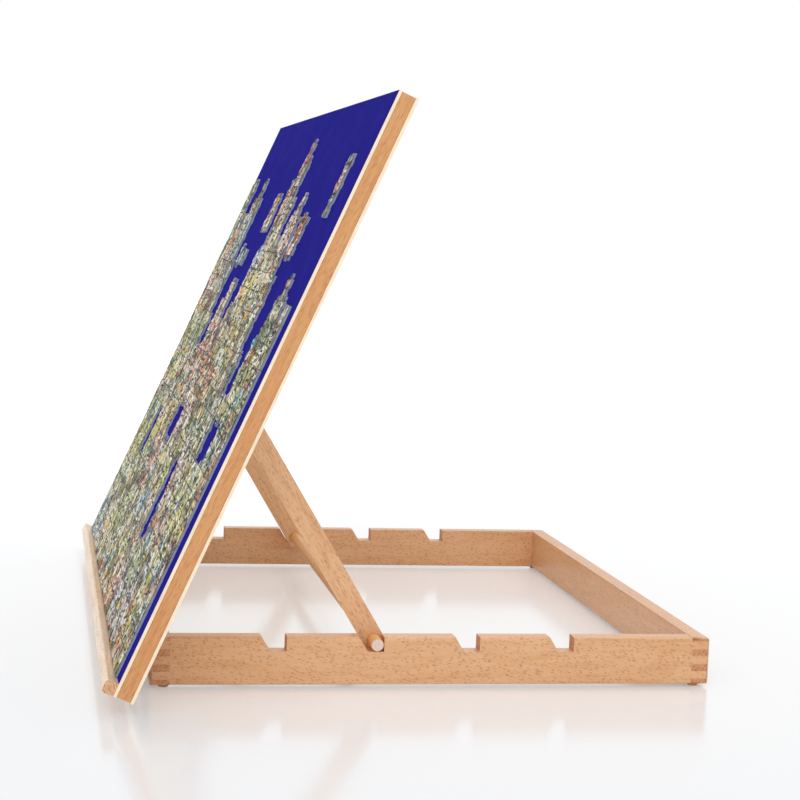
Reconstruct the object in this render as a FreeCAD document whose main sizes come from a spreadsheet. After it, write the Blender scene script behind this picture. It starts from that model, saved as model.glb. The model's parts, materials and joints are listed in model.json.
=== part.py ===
import FreeCAD, Part

import math
import os

import Sketcher
from FreeCAD import Placement, Rotation, Vector

# Tilting wooden jigsaw board. A wide felt-faced board is hinged to the front of a low
# beech frame. Two flat arms on its back carry one cross dowel, whose ends drop into
# notches in the frame's side rails. Millimetres; X across, Y front to rear, Z up.
# The board stands as in use, with the dowel in the second pair of notches.

# Driving dimensions: alias, value, meaning
SIZES = [
    ("base_width", 578, "outer width of the base frame"),
    ("base_depth", 483, "outer depth of the base frame"),
    ("rail_height", 40.5, "height of the four base rails"),
    ("rail_thickness", 16, "thickness of the four base rails"),
    ("finger_top", 3.4, "top finger of the corner joint, of the front and rear rails"),
    ("finger_narrow", 6.2, "lower fingers of the front and rear rails"),
    ("finger_wide", 6.8, "fingers of the side rails"),
    ("finger_least", 2.5, "a lower finger than this joins the one above"),
    ("foot_height", 2.8, "height of the bumper feet"),
    ("foot_diameter", 11, "bumper feet against the rail"),
    ("foot_tread", 9, "bumper feet on the table"),
    ("foot_inset", 11.5, "foot centre from the rail's end"),
    ("notch_first", 112.8, "rear wall of the first notch from the front face"),
    ("notch_pitch", 82.6, "distance from notch to notch"),
    ("notch_floor", 13.5, "flat floor of a notch"),
    ("notch_depth", 12.5, "depth of a notch"),
    ("notch_slant", 7.8, "run of the slanted front wall"),
    ("dowel_diameter", 11, "cross dowel"),
    ("dowel_proud", 1, "dowel end beyond the rail's outer face"),
    ("seat_gap", 0.3, "dowel to the notch's walls"),
    ("board_width", 760, "board across"),
    ("board_length", 520, "board along its slope"),
    ("board_overhang", 42, "board below the hinge axis"),
    ("front_sheet", 2.5, "thickness of the front sheet"),
    ("core_thickness", 12, "thickness of the beech core frame"),
    ("back_sheet", 2.5, "thickness of the back sheet"),
    ("core_inset", 0.5, "core edge back from the sheets' edges"),
    ("stile_width", 40, "width of the core's side and top members"),
    ("bottom_rail_width", 70, "width of the core's bottom rail"),
    ("cross_rail_width", 80, "width of the core's rail behind the cleats"),
    ("felt_thickness", 1, "felt on the front sheet"),
    ("felt_inset", 0.5, "felt edge back from the sheet's edge"),
    ("ledge_height", 10.5, "ledge along the board's slope"),
    ("ledge_depth", 10.5, "ledge out from the front sheet"),
    ("ledge_rounding", 2.5, "outer edges of the ledge"),
    ("ledge_screw_inset", 10, "outer ledge screws in from the stiles"),
    ("hinge_axis_back", 2, "hinge axis behind the base's front face"),
    ("hinge_pitch", 220, "distance between hinges"),
    ("hinge_length", 60, "length of a hinge"),
    ("knuckle_diameter", 6, "outside of the hinge knuckles"),
    ("pin_diameter", 3, "hinge pin"),
    ("leaf_thickness", 1.5, "hinge leaf"),
    ("leaf_reach", 11.5, "leaf edge from the hinge axis"),
    ("leaf_screw_pitch", 40, "distance between a leaf's screws"),
    ("running_gap", 0.3, "gap between pieces that turn past each other"),
    ("fit_gap", 0.05, "radial clearance of a pin or screw in its hole"),
    ("screw_diameter", 3, "countersunk wood screws"),
    ("head_diameter", 6, "head of the wood screws"),
    ("head_height", 1.5, "countersunk head"),
    ("screw_bite", 8, "length of a screw in the piece behind"),
    ("overrun", 1, "a drill beyond the faces that it passes"),
    ("arm_length", 207, "pivot axis to dowel axis"),
    ("arm_width", 18.5, "flat arm"),
    ("arm_thickness", 10, "flat arm"),
    ("arm_tip", 9, "arm beyond the dowel axis"),
    ("tip_rounding", 2.5, "corners at the dowel end of an arm"),
    ("arm_rail_gap", 5, "arm to the rail's inner face"),
    ("pivot_along", 184, "pivot from the hinge axis along the board"),
    ("pivot_setback", 10, "pivot behind the board's back face"),
    ("bolt_diameter", 5, "pivot bolt"),
    ("bolt_head_diameter", 11, "round head of the pivot bolt"),
    ("bolt_head_height", 2.5, "round head of the pivot bolt"),
    ("washer_diameter", 14, "washer between arm and cleat"),
    ("washer_thickness", 1.2, "washers of the pivot"),
    ("nut_across", 8, "hexagon nut across flats"),
    ("nut_height", 4, "hexagon nut"),
    ("cleat_width", 20, "pivot cleat across"),
    ("cleat_length", 64, "foot of the cleat along the board"),
    ("cleat_foot", 7, "depth of the cleat's foot"),
    ("cleat_nose", 8, "radius of the cleat's nose round the pivot"),
    ("cleat_screw_pitch", 46, "distance between a cleat's screws"),
    ("piece_pitch", 19, "one jigsaw piece along its rows"),
    ("piece_thickness", 2.4, "thickness of the jigsaw"),
]

NOTCH_COUNT = 4
# The dowel stands in the notch this many pitches behind the first
SEAT_PITCH_COUNT = 1
HINGE_COUNT = 3
KNUCKLE_COUNT = 5
LEDGE_SCREW_COUNT = 6
PUZZLE_COLUMNS = 38
PUZZLE_ROWS = 26
# Small assembled clusters, as column, row, width and height in pieces
LOOSE_CLUSTERS = [(10, 18, 3, 1), (15, 20, 2, 2), (29, 19, 2, 2), (35, 21, 1, 3)]
# Spaces not yet filled inside the assembled section, in the same way
OPEN_SPACES = [(6, 6, 2, 3), (15, 8, 3, 2), (24, 4, 2, 4), (31, 9, 3, 2)]


class Size:
    """A length as its number and as the sheet expression that gives it."""

    def __init__(self, value, text):
        self.value = value
        self.text = text

    def __add__(self, other):
        other = as_size(other)
        return Size(self.value + other.value, f"({self.text} + {other.text})")

    def __sub__(self, other):
        other = as_size(other)
        return Size(self.value - other.value, f"({self.text} - {other.text})")

    def __mul__(self, number):
        return Size(self.value * number, f"({self.text} * {number})")

    def __truediv__(self, number):
        return Size(self.value / number, f"({self.text} / {number})")

    def __neg__(self):
        return self * -1


def as_size(length):
    """A bare number as a Size."""
    return length if isinstance(length, Size) else Size(length, f"({length})")


ZERO = as_size(0)

doc = FreeCAD.newDocument("jigsaw_board")
sheet = doc.addObject("Spreadsheet::Sheet", "dims")
size = {}
for row, (alias, value, meaning) in enumerate(SIZES, start=1):
    sheet.set(f"A{row}", alias)
    sheet.set(f"B{row}", str(value))
    sheet.set(f"C{row}", meaning)
    sheet.setAlias(f"B{row}", alias)
    size[alias] = Size(value, f"dims.{alias}")
doc.recompute()

nodes = []


def keep(piece, label):
    """Name a finished sub-part and list it for the export."""
    piece.Label = label
    nodes.append(piece)
    return piece


# Frames of reference and the linkage

def number(alias):
    """The plain number of one driving dimension."""
    return size[alias].value


half_base = size["base_width"] / 2
half_board = size["board_width"] / 2
rail_top = number("foot_height") + number("rail_height")
knuckle_radius = size["knuckle_diameter"] / 2
back_face = knuckle_radius + size["running_gap"]
core_back = back_face + size["back_sheet"]
core_front = core_back + size["core_thickness"]
front_face = core_front + size["front_sheet"]
board_foot = -size["board_overhang"]
board_top = size["board_length"] - size["board_overhang"]

hinge_y = number("hinge_axis_back")
hinge_z = rail_top + back_face.value
pivot_normal = back_face.value - number("pivot_setback")
dowel_radius = size["dowel_diameter"] / 2
seat_wall = number("notch_first") + SEAT_PITCH_COUNT * number("notch_pitch")
dowel_y = seat_wall - number("seat_gap") - dowel_radius.value
dowel_z = rail_top - number("notch_depth") + number("seat_gap") + dowel_radius.value


def rest_angles():
    """Tilt of the board and slope of the arms, from the triangle hinge, pivot, dowel."""
    along, normal, arm = number("pivot_along"), pivot_normal, number("arm_length")
    to_dowel = math.hypot(dowel_y - hinge_y, dowel_z - hinge_z)
    to_pivot = math.hypot(along, normal)
    opening = math.acos((to_dowel**2 + to_pivot**2 - arm**2) / (2 * to_dowel * to_pivot))
    tilt = math.atan2(dowel_z - hinge_z, dowel_y - hinge_y) + opening - math.atan2(normal, along)
    pivot_y = hinge_y + along * math.cos(tilt) - normal * math.sin(tilt)
    pivot_z = hinge_z + along * math.sin(tilt) + normal * math.cos(tilt)
    slope = math.atan2(dowel_z - pivot_z, dowel_y - pivot_y)
    return tilt, slope, pivot_y, pivot_z


tilt, slope, pivot_y, pivot_z = rest_angles()

# The origin lies under the middle of the whole object, which reaches from the ledge's
# rounded lower edge to the rear rail.
edge_radius = number("ledge_rounding")
edge_along = board_foot.value + edge_radius
edge_normal = front_face.value + number("ledge_depth") - edge_radius
foremost = hinge_y + edge_along * math.cos(tilt) - edge_normal * math.sin(tilt) - edge_radius
middle_y = (foremost + number("base_depth")) / 2

ACROSS = Vector(1, 0, 0)
base_frame = Placement(Vector(0, -middle_y, number("foot_height")), Rotation())
board_frame = Placement(Vector(0, hinge_y - middle_y, hinge_z), Rotation(ACROSS, math.degrees(tilt)))
prop_frame = Placement(Vector(0, pivot_y - middle_y, pivot_z), Rotation(ACROSS, math.degrees(slope)))


def at(frame, x, y, z):
    """A place in one of the three frames."""
    return frame.multiply(Placement(Vector(x, y, z), Rotation()))


# Building helpers

def bind(target, **lengths):
    """Tie properties of an object to the sheet."""
    for name, length in lengths.items():
        target.setExpression(name, as_size(length).text)


def box(name, across, along, thick):
    """A block with its lowest corner at its origin."""
    block = doc.addObject("Part::Box", name)
    bind(block, Length=across, Width=along, Height=thick)
    return block


def rod(name, radius, length, place):
    """A cylinder along its own Z."""
    cylinder = doc.addObject("Part::Cylinder", name)
    bind(cylinder, Radius=radius, Height=length)
    cylinder.Placement = place
    return cylinder


def cone(name, low_radius, high_radius, height, place):
    """A cone along its own Z."""
    solid = doc.addObject("Part::Cone", name)
    bind(solid, Radius1=low_radius, Radius2=high_radius, Height=height)
    solid.Placement = place
    return solid


def group(name, pieces):
    """Several separate solids as one object."""
    compound = doc.addObject("Part::Compound", name)
    compound.Links = pieces
    return compound


def fuse(name, pieces):
    """Several touching solids as one."""
    union = doc.addObject("Part::MultiFuse", name)
    union.Shapes = pieces
    union.Refine = True
    return union


def cut(name, stock, tools):
    """Stock with the tools taken away."""
    cutter = tools[0] if len(tools) == 1 else group(name + "_tools", tools)
    result = doc.addObject("Part::Cut", name)
    result.Base = stock
    result.Tool = cutter
    return result


def outline(body, corners):
    """A closed sketch through the corners, on the plane across X, each one dimensioned."""
    sketch = body.newObject("Sketcher::SketchObject", body.Name + "_outline")
    plane = [item for item in body.Origin.OriginFeatures if item.Role == "YZ_Plane"][0]
    sketch.AttachmentSupport = [(plane, "")]
    sketch.MapMode = "FlatFace"
    points = [Vector(y.value, z.value, 0) for y, z in corners]
    for start, end in zip(points, points[1:] + points[:1]):
        sketch.addGeometry(Part.LineSegment(start, end), False)
    for index in range(len(points)):
        follower = (index + 1) % len(points)
        sketch.addConstraint(Sketcher.Constraint("Coincident", index, 2, follower, 1))
    for index, corner in enumerate(corners):
        for kind, length, axis in (("DistanceX", corner[0], -2), ("DistanceY", corner[1], -1)):
            if length is ZERO:
                sketch.addConstraint(Sketcher.Constraint("PointOnObject", index, 1, axis))
                continue
            place = sketch.addConstraint(Sketcher.Constraint(kind, -1, 1, index, 1, length.value))
            name = f"{kind}_{index}"
            sketch.renameConstraint(place, name)
            sketch.setExpression(f"Constraints.{name}", length.text)
    return sketch


def profile(name, corners, across):
    """A body drawn as an outline and padded along X from its own origin."""
    body = doc.addObject("PartDesign::Body", name)
    pad = body.newObject("PartDesign::Pad", name + "_pad")
    pad.Profile = outline(body, corners)
    bind(pad, Length=across)
    return body


def rounded(body, length_rule, radius):
    """Round the body's edges that the rule picks, by their position."""
    doc.recompute()
    picked = []
    for index, edge in enumerate(body.Shape.Edges, start=1):
        if length_rule(edge.CenterOfMass, edge):
            picked.append(f"Edge{index}")
    base = body.Tip
    fillet = body.newObject("PartDesign::Fillet", body.Name + "_rounding")
    fillet.Base = (base, picked)
    bind(fillet, Radius=radius)
    body.Tip = fillet
    return body


def runs_across(edge):
    """Whether an edge is a straight line along X."""
    span = edge.BoundBox
    return span.XLength > 1 and span.YLength < 0.01 and span.ZLength < 0.01


def spread(count, pitch):
    """Positions about zero, a pitch apart."""
    return [(index - (count - 1) / 2) * pitch for index in range(count)]


# Screws and their holes. A screw lies along its own Z with its head's face at the origin
# and its point at negative Z.

head_radius = size["head_diameter"] / 2
screw_radius = size["screw_diameter"] / 2
DOWN = Rotation(ACROSS, 180)


def screw(name, length, place):
    """A countersunk wood screw with its head's face at the place."""
    head = cone(name + "_head", head_radius, screw_radius, size["head_height"],
                place.multiply(Placement(Vector(), DOWN)))
    shank = rod(name + "_shank", screw_radius, length, place.multiply(Placement(Vector(), DOWN)))
    return fuse(name, [head, shank])


def screw_hole(name, length, place):
    """The hole of a screw, with its countersink, all by the fit's gap larger."""
    sink = cone(name + "_sink", head_radius + size["fit_gap"], screw_radius + size["fit_gap"],
                size["head_height"], place.multiply(Placement(Vector(), DOWN)))
    bore = rod(name + "_bore", screw_radius + size["fit_gap"], length,
               place.multiply(Placement(Vector(), DOWN)))
    return fuse(name, [sink, bore])


def screw_row(name, length, places):
    """Screws at several places as one group, in the frame where the places are given."""
    return group(name, [screw(f"{name}_{index}", length, place)
                        for index, place in enumerate(places)])


def hole_row(name, length, places):
    """The holes of a row of screws."""
    return [screw_hole(f"{name}_{index}", length, place) for index, place in enumerate(places)]


def facing(x, along, normal, turn):
    """A screw's place in a frame, with its head facing along the turned Z."""
    return Placement(Vector(x, along, normal), turn)


# Screw places, each in the frame of its body

hinge_places = spread(HINGE_COUNT, number("hinge_pitch"))
leaf_middle = (knuckle_radius.value + number("running_gap") + number("leaf_reach")) / 2
leaf_screw_xs = [x + step for x in hinge_places for step in spread(2, number("leaf_screw_pitch"))]
leaf_face = number("rail_height") + number("leaf_thickness")
base_leaf_places = [facing(x, hinge_y + leaf_middle, leaf_face, Rotation()) for x in leaf_screw_xs]
leaf_back = back_face.value - number("leaf_thickness")
board_leaf_places = [facing(x, leaf_middle, leaf_back, DOWN) for x in leaf_screw_xs]
ledge_face = front_face + size["ledge_depth"]
ledge_middle = board_foot.value + number("ledge_height") / 2
ledge_screw_reach = half_board - size["core_inset"] - size["stile_width"] - size["ledge_screw_inset"]
ledge_screw_pitch = 2 * ledge_screw_reach.value / (LEDGE_SCREW_COUNT - 1)
ledge_places = [facing(x, ledge_middle, ledge_face.value, Rotation())
                for x in spread(LEDGE_SCREW_COUNT, ledge_screw_pitch)]
arm_outer = half_base - size["rail_thickness"] - size["arm_rail_gap"]
arm_inner = arm_outer - size["arm_thickness"]
cleat_outer = arm_inner - size["washer_thickness"]
cleat_inner = cleat_outer - size["cleat_width"]
cleat_middle = (cleat_outer + cleat_inner) / 2
cleat_back = back_face.value - number("cleat_foot")
cleat_places = [facing(side * cleat_middle.value, number("pivot_along") + step, cleat_back, DOWN)
                for side in (1, -1) for step in spread(2, number("cleat_screw_pitch"))]
leaf_screw_length = size["leaf_thickness"] + size["back_sheet"] + size["screw_bite"]
ledge_screw_length = size["ledge_depth"] + size["front_sheet"] + size["screw_bite"]
cleat_screw_length = size["cleat_foot"] + size["back_sheet"] + size["screw_bite"]


# Base frame

def finger_steps():
    """Heights from the rail's foot where the corner joint changes sides, from the top down."""
    least = number("finger_least")
    depth = size["finger_top"]
    steps = []
    wide = True
    while depth.value < number("rail_height") - least:
        steps.append(size["rail_height"] - depth)
        depth = depth + (size["finger_wide"] if wide else size["finger_narrow"])
        wide = not wide
    return steps


def comb(steps, inner, outer, top_is_out):
    """One end of a rail, from the top down: its fingers reach out by turns."""
    corners = []
    out = top_is_out
    reach = outer if out else inner
    corners.append((reach, size["rail_height"]))
    for step in steps:
        corners.append((reach, step))
        out = not out
        reach = outer if out else inner
        corners.append((reach, step))
    corners.append((reach, ZERO))
    return corners


def notch(rear):
    """A notch in the top edge: slanted front wall, flat floor, upright rear wall."""
    floor = size["rail_height"] - size["notch_depth"]
    front = rear - size["notch_floor"]
    top = size["rail_height"]
    return [(front - size["notch_slant"], top), (front, floor), (rear, floor), (rear, top)]


def side_rail(label, side):
    """A notched side rail, its fingers below those of the front and rear rails."""
    steps = finger_steps()
    thickness, depth = size["rail_thickness"], size["base_depth"]
    front_end = comb(steps, thickness, ZERO, False)
    rear_end = comb(steps, depth - thickness, depth, False)
    notches = []
    for index in range(NOTCH_COUNT):
        notches += notch(size["notch_first"] + size["notch_pitch"] * index)
    corners = [front_end[0]] + notches + rear_end + front_end[:0:-1]
    rail = profile(label, corners, thickness)
    inner = half_base.value - thickness.value
    rail.Placement = at(base_frame, inner if side > 0 else -half_base.value, 0, 0)
    return rail


def end_rail(name):
    """A front or rear rail along its own Y, whose top fingers reach the frame's outer faces."""
    steps = finger_steps()
    thickness, width = size["rail_thickness"], size["base_width"]
    near_end = comb(steps, thickness, ZERO, True)
    far_end = comb(steps, width - thickness, width, True)
    return profile(name, far_end + near_end[::-1], thickness)


QUARTER = Rotation(Vector(0, 0, 1), 90)

keep(side_rail("base_side_rail_right", 1), "base_side_rail_right")
keep(side_rail("base_side_rail_left", -1), "base_side_rail_left")
rear_rail = keep(end_rail("rear_rail"), "base_rear_rail")
rear_rail.Placement = base_frame.multiply(
    Placement(Vector(half_base.value, number("base_depth") - number("rail_thickness"), 0), QUARTER))
front_stock = end_rail("front_stock")
front_stock.Placement = Placement(Vector(half_base.value, 0, 0), QUARTER)
front_rail = keep(cut("front_rail", front_stock,
                      hole_row("rail_hole", leaf_screw_length, base_leaf_places)), "base_front_rail")
front_rail.Placement = base_frame


def bumper_feet():
    """Four tapered feet under the corners of the frame."""
    feet = []
    inset_x = half_base.value - number("rail_thickness") / 2
    for x in (-inset_x, inset_x):
        for y in (number("foot_inset"), number("base_depth") - number("foot_inset")):
            name = f"foot_{len(feet)}"
            foot = cone(name, size["foot_tread"] / 2, size["foot_diameter"] / 2,
                        size["foot_height"], Placement(Vector(x, y - middle_y, 0), Rotation()))
            feet.append(foot)
    return group("feet", feet)


keep(bumper_feet(), "bumper_feet")


# Hinges

def knuckle_spans(owner):
    """Start and length of the knuckles of one leaf; the leaves take them by turns."""
    share = number("hinge_length") / KNUCKLE_COUNT
    gap = number("running_gap") / 2
    return [(index * share + gap, share - 2 * gap) for index in range(owner, KNUCKLE_COUNT, 2)]


def hinge_leaf(name, owner, x, plate_low):
    """One leaf along X about the axis at its origin, with its plate from plate_low up."""
    alongside = Rotation(Vector(0, 1, 0), 90)
    start = x - number("hinge_length") / 2
    clear = knuckle_radius + size["running_gap"] * 1.5
    plate = box(name + "_plate", size["hinge_length"], size["leaf_reach"] - clear,
                size["leaf_thickness"])
    plate.Placement = Placement(Vector(start, clear.value, plate_low), Rotation())
    solids = [plate]
    for index, (offset, length) in enumerate(knuckle_spans(owner)):
        barrel = rod(f"{name}_barrel_{index}", knuckle_radius, as_size(length),
                     Placement(Vector(start + offset, 0, 0), alongside))
        web = box(f"{name}_web_{index}", as_size(length), clear, size["leaf_thickness"])
        web.Placement = Placement(Vector(start + offset, 0, plate_low), Rotation())
        solids += [barrel, web]
    return fuse(name, solids)


def hinge_leaves(label, owner, plate_low, frame, holes):
    """The leaves of one side of every hinge, bored for the pins and the screws."""
    alongside = Rotation(Vector(0, 1, 0), 90)
    solids = []
    for index, x in enumerate(hinge_places):
        name = f"{label}_{index}"
        leaf = hinge_leaf(name + "_blank", owner, x, plate_low)
        start = Placement(Vector(x - number("hinge_length") / 2 - number("overrun"), 0, 0), alongside)
        bore = rod(name + "_bore", size["pin_diameter"] / 2 + size["fit_gap"],
                   size["hinge_length"] + size["overrun"] * 2, start)
        solids.append(cut(name, leaf, [bore] + holes[2 * index:2 * index + 2]))
    leaves = keep(group(label + "_group", solids), label)
    leaves.Placement = frame
    return leaves


axis_frame = at(base_frame, 0, hinge_y, hinge_z - number("foot_height"))
axis_height = hinge_z - number("foot_height")
shifted_places = [facing(place.Base.x, place.Base.y - hinge_y, place.Base.z - axis_height, Rotation())
                  for place in base_leaf_places]
hinge_leaves("hinge_base_leaves", 0, -back_face.value, axis_frame,
             hole_row("base_leaf_hole", leaf_screw_length, shifted_places))
hinge_leaves("hinge_board_leaves", 1, leaf_back, board_frame,
             hole_row("board_leaf_hole", leaf_screw_length, board_leaf_places))


def hinge_pins():
    """A pin through the knuckles of each hinge."""
    alongside = Rotation(Vector(0, 1, 0), 90)
    pins = []
    for index, x in enumerate(hinge_places):
        place = Placement(Vector(x - number("hinge_length") / 2, 0, 0), alongside)
        pins.append(rod(f"pin_{index}", size["pin_diameter"] / 2, size["hinge_length"], place))
    return group("pins", pins)


keep(hinge_pins(), "hinge_pins").Placement = axis_frame
base_screws = keep(screw_row("base_screw", leaf_screw_length, base_leaf_places), "hinge_screws_base")
base_screws.Placement = base_frame
board_screws = keep(screw_row("board_screw", leaf_screw_length, board_leaf_places),
                    "hinge_screws_board")
board_screws.Placement = board_frame


# Board: two sheets on a beech core frame, felt and ledge on the front

def slab(name, half_width, low, high, face, thickness):
    """A flat piece of the board, centred across, from low to high along the slope."""
    piece = box(name, half_width * 2, high - low, thickness)
    piece.Placement = Placement(Vector(-half_width.value, low.value, face.value), Rotation())
    return piece


def core_piece(name, left, low, across, along):
    """A member of the core frame, from its lowest corner."""
    piece = box(name, across, along, size["core_thickness"])
    piece.Placement = Placement(Vector(left.value, low.value, core_back.value), Rotation())
    return piece


core_half = half_board - size["core_inset"]
core_foot = board_foot + size["core_inset"]
core_top = board_top - size["core_inset"]
stile = size["stile_width"]
between = core_half * 2 - stile * 2
inner_left = stile - core_half
cross_low = size["pivot_along"] - size["cross_rail_width"] / 2

for label, left in (("board_stile_right", core_half - stile), ("board_stile_left", -core_half)):
    piece = keep(core_piece(label, left, core_foot, stile, core_top - core_foot), label)
    piece.Placement = board_frame.multiply(piece.Placement)

top_rail = keep(core_piece("top_rail", inner_left, core_top - stile, between, stile), "board_top_rail")
top_rail.Placement = board_frame.multiply(top_rail.Placement)

bottom_stock = core_piece("bottom_stock", inner_left, core_foot, between, size["bottom_rail_width"])
bottom_holes = (hole_row("bottom_hinge_hole", leaf_screw_length, board_leaf_places)
                + hole_row("bottom_ledge_hole", ledge_screw_length, ledge_places))
keep(cut("bottom_rail", bottom_stock, bottom_holes), "board_bottom_rail").Placement = board_frame

cross_stock = core_piece("cross_stock", inner_left, cross_low, between, size["cross_rail_width"])
cross_holes = hole_row("cross_hole", cleat_screw_length, cleat_places)
keep(cut("cross_rail", cross_stock, cross_holes), "board_cross_rail").Placement = board_frame

back_stock = slab("back_stock", half_board, board_foot, board_top, back_face, size["back_sheet"])
back_holes = (hole_row("back_hinge_hole", leaf_screw_length, board_leaf_places)
              + hole_row("back_cleat_hole", cleat_screw_length, cleat_places))
keep(cut("back_sheet", back_stock, back_holes), "board_back_sheet").Placement = board_frame

front_sheet_stock = slab("front_sheet_stock", half_board, board_foot, board_top, core_front,
                         size["front_sheet"])
front_holes = hole_row("front_ledge_hole", ledge_screw_length, ledge_places)
keep(cut("front_sheet", front_sheet_stock, front_holes), "board_front_sheet").Placement = board_frame

felt_low = board_foot + size["ledge_height"] + size["felt_inset"]
felt = keep(slab("felt", half_board - size["felt_inset"], felt_low, board_top - size["felt_inset"],
                 front_face, size["felt_thickness"]), "felt_surface")
felt.Placement = board_frame.multiply(felt.Placement)


def ledge():
    """The ledge along the board's foot, with its outer edges rounded."""
    height, depth = size["ledge_height"], size["ledge_depth"]
    corners = [(ZERO, ZERO), (height, ZERO), (height, depth), (ZERO, depth)]
    bar = profile("ledge_stock", corners, size["board_width"])

    def outer_edge(middle, edge):
        return runs_across(edge) and middle.z > number("ledge_depth") / 2

    rounded(bar, outer_edge, size["ledge_rounding"])
    bar.Placement = Placement(Vector(-half_board.value, board_foot.value, front_face.value), Rotation())
    return cut("ledge", bar, hole_row("ledge_hole", ledge_screw_length, ledge_places))


keep(ledge(), "puzzle_ledge").Placement = board_frame
ledge_screws = keep(screw_row("ledge_screw", ledge_screw_length, ledge_places), "ledge_screws")
ledge_screws.Placement = board_frame


# Pivots on the board's back

def crosswise(x, along, normal):
    """A place on the board for a rod along X."""
    return Placement(Vector(x, along, normal), Rotation(Vector(0, 1, 0), 90))


def pivot_cleat(label, side):
    """A block with a flat foot on the board's back and a round nose about the pivot bolt."""
    half_foot = size["cleat_length"] / 2
    low = -size["cleat_foot"]
    waist = size["cleat_nose"] * 2
    corners = [(-half_foot, ZERO), (-half_foot, low), (-waist, low), (-size["cleat_nose"],
               -size["pivot_setback"]), (size["cleat_nose"], -size["pivot_setback"]),
               (waist, low), (half_foot, low), (half_foot, ZERO)]
    left = cleat_inner.value if side > 0 else -cleat_outer.value
    along = number("pivot_along")
    foot = profile(label + "_foot", corners, size["cleat_width"])
    foot.Placement = Placement(Vector(left, along, back_face.value), Rotation())
    nose = rod(label + "_nose", size["cleat_nose"], size["cleat_width"],
               crosswise(left, along, pivot_normal))
    bore = rod(label + "_bore", size["bolt_diameter"] / 2 + size["fit_gap"],
               size["cleat_width"] + size["overrun"] * 2,
               crosswise(left - number("overrun"), along, pivot_normal))
    first = 0 if side > 0 else 2
    holes = hole_row(label + "_hole", cleat_screw_length, cleat_places[first:first + 2])
    cleat = keep(cut(label, fuse(label + "_stock", [foot, nose]), [bore] + holes), label)
    cleat.Placement = board_frame
    return cleat


pivot_cleat("pivot_cleat_right", 1)
pivot_cleat("pivot_cleat_left", -1)
cleat_screws = keep(screw_row("cleat_screw", cleat_screw_length, cleat_places), "cleat_screws")
cleat_screws.Placement = board_frame

nut_face = cleat_inner - size["washer_thickness"]
bolt_end = nut_face - size["nut_height"] - size["bolt_diameter"] / 2
head_seat = arm_outer + size["fit_gap"] * 2


def mirrored_x(side, start, length):
    """Left end of a stretch along X that starts at start on the right-hand side."""
    return start.value if side > 0 else -(start + length).value


def pivot_rod(name, side, radius, start, end):
    """A round piece on a pivot, from start to end on the right, or mirrored on the left."""
    length = end - start
    place = crosswise(mirrored_x(side, start, length), number("pivot_along"), pivot_normal)
    return rod(name, radius, length, place)


def pivot_bolts():
    """A round-headed bolt through each arm and cleat."""
    bolts = []
    for side in (1, -1):
        name = f"bolt_{len(bolts)}"
        shank = pivot_rod(name + "_shank", side, size["bolt_diameter"] / 2, bolt_end, head_seat)
        head = pivot_rod(name + "_head", side, size["bolt_head_diameter"] / 2, head_seat,
                         head_seat + size["bolt_head_height"])
        bolts.append(fuse(name, [shank, head]))
    return group("bolts", bolts)


def ring(name, side, outer, start, end):
    """A round plate with the bolt's hole."""
    plate = pivot_rod(name + "_plate", side, outer, start, end)
    hole = pivot_rod(name + "_hole", side, size["bolt_diameter"] / 2 + size["fit_gap"],
                     start - size["overrun"], end + size["overrun"])
    return cut(name, plate, [hole])


def pivot_washers():
    """A washer on each side of each cleat."""
    rings = []
    for side in (1, -1):
        gap = size["fit_gap"]
        rings.append(ring(f"spacer_{side + 1}", side, size["washer_diameter"] / 2,
                          cleat_outer, arm_inner - gap * 2))
        rings.append(ring(f"washer_{side + 1}", side, size["washer_diameter"] / 2,
                          nut_face, cleat_inner))
    return group("washers", rings)


def pivot_nuts():
    """A hexagon nut on the inner end of each bolt."""
    nuts = []
    for side in (1, -1):
        name = f"nut_{side + 1}"
        hexagon = doc.addObject("Part::Prism", name + "_blank")
        hexagon.Polygon = 6
        bind(hexagon, Circumradius=size["nut_across"] / math.sqrt(3), Height=size["nut_height"])
        start = mirrored_x(side, nut_face - size["nut_height"], size["nut_height"])
        hexagon.Placement = crosswise(start, number("pivot_along"), pivot_normal)
        hole = pivot_rod(name + "_hole", side, size["bolt_diameter"] / 2 + size["fit_gap"],
                         nut_face - size["nut_height"] - size["overrun"],
                         nut_face + size["overrun"])
        nuts.append(cut(name, hexagon, [hole]))
    return group("nuts", nuts)


keep(pivot_bolts(), "pivot_bolts").Placement = board_frame
keep(pivot_washers(), "pivot_washers").Placement = board_frame
keep(pivot_nuts(), "pivot_nuts").Placement = board_frame


# Prop: two arms and the cross dowel

def prop_arm(label, side):
    """A flat arm along its own Y, round at the pivot and nearly square at the dowel."""
    half = size["arm_width"] / 2
    tip = size["arm_length"] + size["arm_tip"]
    left = arm_inner if side > 0 else -arm_outer
    corners = [(ZERO, -half), (tip, -half), (tip, half), (ZERO, half)]
    bar = profile(label + "_bar", corners, size["arm_thickness"])

    def tip_edge(middle, edge):
        return runs_across(edge) and middle.y > tip.value - 1

    rounded(bar, tip_edge, size["tip_rounding"])
    bar.Placement = Placement(Vector(left.value, 0, 0), Rotation())
    end = rod(label + "_end", half, size["arm_thickness"], crosswise(left.value, 0, 0))
    holes = []
    for name, radius, along in (("_pivot", size["bolt_diameter"] / 2, 0),
                                ("_socket", dowel_radius, number("arm_length"))):
        place = crosswise(left.value - number("overrun"), along, 0)
        holes.append(rod(label + name, radius + size["fit_gap"],
                         size["arm_thickness"] + size["overrun"] * 2, place))
    arm = keep(cut(label, fuse(label + "_stock", [bar, end]), holes), label)
    arm.Placement = prop_frame
    return arm


prop_arm("prop_arm_right", 1)
prop_arm("prop_arm_left", -1)
dowel_half = half_base + size["dowel_proud"]
dowel = keep(rod("dowel", dowel_radius, dowel_half * 2,
                 prop_frame.multiply(crosswise(-dowel_half.value, number("arm_length"), 0))),
             "prop_dowel")


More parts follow.
